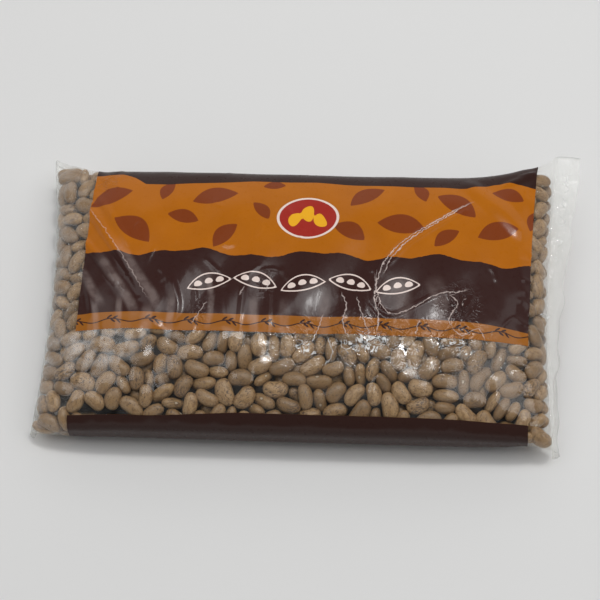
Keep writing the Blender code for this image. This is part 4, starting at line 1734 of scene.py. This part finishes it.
class BagColours(PropertyGroup):
    """The colours of the beans, the print and the floor."""

    skin_light: colour_property("Light bean", "Skin of the lightest beans", 168, 137, 98)
    skin_dark: colour_property("Dark bean", "Skin of the darkest beans", 117, 91, 60)
    skin_warm: colour_property("Mottling", "Slow mottling of the skin", 132, 102, 67)
    speckles: colour_property("Speckles", "Speckles and streaks of the skin", 74, 54, 40)
    bean_eye: colour_property("Eye", "The pale scar on a bean's hollow side", 214, 202, 180)
    deep_skin: colour_property("Deep beans", "Beans in the shade of others", 56, 42, 29)
    orange: colour_property("Orange", "The wide printed field", 182, 106, 21)
    orange_deep: colour_property("Deep orange", "Slow variation of the field", 164, 92, 12)
    leaves: colour_property("Leaves", "Leaf shapes on the orange field", 124, 58, 24)
    brown: colour_property("Brown", "The band below the orange field", 54, 31, 28)
    thin_orange: colour_property("Thin band", "The orange band along the window", 152, 93, 30)
    strip: colour_property("Strips", "The bands along both sides", 50, 31, 27)
    badge: colour_property("Badge", "The oval on the orange field", 158, 46, 38)
    cream: colour_property("Cream", "Pods on the brown band and the badge's rim", 226, 208, 200)
    gold: colour_property("Gold", "The beans on the badge", 232, 170, 40)
    # Whitening and painted light: this pale colour lightens the print along sharp creases, partly as whitened film
    # and partly as painted glints, and along soft folds as painted sheen
    whitening_and_sheen: colour_property("Crease", "Film whitened by a sharp crease", 226, 208, 202)
    film_tint: colour_property("Film tint", "What the clear film takes from light that passes", 254, 254, 253)
    # Haze and painted light: this white is the clear film's milkiness and also the colour of its painted glare, sheen
    # and glints
    haze_and_glare_white: colour_property("Film haze", "The clear film's milkiness", 244, 245, 245)
    floor: colour_property("Floor", "The floor under the bag", 226, 226, 226)


class BagStudio(PropertyGroup):
    """The camera and the light."""

    elevation: FloatProperty(
        name="Elevation", description="How far the camera looks down", default=math.radians(64.0), subtype="ANGLE"
    )
    azimuth: FloatProperty(
        name="Azimuth", description="How far the camera stands to the right", default=math.radians(8.479),
        subtype="ANGLE",
    )
    roll: FloatProperty(
        name="Roll", description="How far the camera is rolled", default=math.radians(-6.094), subtype="ANGLE"
    )
    distance: FloatProperty(
        name="Distance", description="From the camera to the bag", default=1.3, unit="LENGTH", subtype="DISTANCE"
    )
    lens: FloatProperty(name="Lens", description="Focal length in millimetres", default=152.18, min=20.0)
    floor_size: FloatProperty(
        name="Floor", description="Side of the floor", default=6.0, unit="LENGTH", subtype="DISTANCE"
    )
    top_light: FloatProperty(name="Top light", description="Power of the overhead light", default=2.7, unit="POWER")
    spark_light: FloatProperty(name="Spark light", description="Power of the small bright light", default=2.0, unit="POWER")
    left_light: FloatProperty(name="Left light", description="Power of the light at the left", default=3.4, unit="POWER")
    right_light: FloatProperty(name="Right light", description="Power of the light at the right", default=3.8, unit="POWER")
    ambient_front: FloatProperty(name="Front ambient", description="Low light from the camera's side", default=0.8)
    ambient_back: FloatProperty(name="Back ambient", description="Low light from behind", default=0.75)
    ambient_top: FloatProperty(name="Top ambient", description="Light from all over the ceiling", default=0.15)


class BAG_OT_beans(Operator):
    """Add the beans that show through clear film"""

    bl_idname = "bag.beans"
    bl_label = "Beans"

    def execute(self, context):
        make_beans()
        return {"FINISHED"}


class BAG_OT_heap(Operator):
    """Add the deeper beans as one dark mass"""

    bl_idname = "bag.heap"
    bl_label = "Deeper Beans"

    def execute(self, context):
        make_heap()
        return {"FINISHED"}


class BAG_OT_film(Operator):
    """Add the film drawn over the beans, clear and printed"""

    bl_idname = "bag.film"
    bl_label = "Film"

    def execute(self, context):
        film_creases_group()
        make_film()
        return {"FINISHED"}


class BAG_OT_stage(Operator):
    """Add the floor, the lights and the camera"""

    bl_idname = "bag.stage"
    bl_label = "Stage"

    def execute(self, context):
        scene = context.scene
        studio = scene.bag_studio
        make_floor(studio, scene.bag_colours)
        aim = Vector(frame_shift(scene.bag_form)) + Vector(CAMERA_AIM)
        for name, place, size in SOFTBOXES:
            add_softbox(name, place, aim, size, getattr(studio, name), LIGHT_COLOUR)
        light_world(studio)
        add_camera(studio, aim)
        scene.view_settings.view_transform = "Standard"
        return {"FINISHED"}


class BAG_PT_panel(Panel):
    """Sizes, colours and the steps that make the bag"""

    bl_label = "Bag of dried beans"
    bl_idname = "BAG_PT_panel"
    bl_space_type = "VIEW_3D"
    bl_region_type = "UI"
    bl_category = "Beans"

    def draw(self, context):
        scene = context.scene
        for label, group in (
            ("Bag", scene.bag_form),
            ("Beans", scene.bag_beans),
            ("Colours", scene.bag_colours),
            ("Studio", scene.bag_studio),
        ):
            box = self.layout.box()
            box.label(text=label)
            for name in group.__annotations__:
                box.prop(group, name)
        for operator in OPERATORS:
            self.layout.operator(operator.bl_idname)


OPERATORS = (BAG_OT_beans, BAG_OT_heap, BAG_OT_film, BAG_OT_stage)
GROUPS = {"bag_form": BagForm, "bag_beans": BagBeans, "bag_colours": BagColours, "bag_studio": BagStudio}


def register():
    """Registers the settings, the operators and the panel."""
    for name, group in GROUPS.items():
        bpy.utils.register_class(group)
        setattr(bpy.types.Scene, name, PointerProperty(type=group))
    for operator in OPERATORS:
        bpy.utils.register_class(operator)
    bpy.utils.register_class(BAG_PT_panel)


def unregister():
    """Takes them all out again."""
    bpy.utils.unregister_class(BAG_PT_panel)
    for operator in reversed(OPERATORS):
        bpy.utils.unregister_class(operator)
    for name, group in reversed(GROUPS.items()):
        delattr(bpy.types.Scene, name)
        bpy.utils.unregister_class(group)


def main():
    """Builds the bag and its stage."""
    register()
    seed_coat_group()
    for operator in OPERATORS:
        category, name = operator.bl_idname.split(".")
        getattr(getattr(bpy.ops, category), name)()


if __name__ == "__main__":
    main()
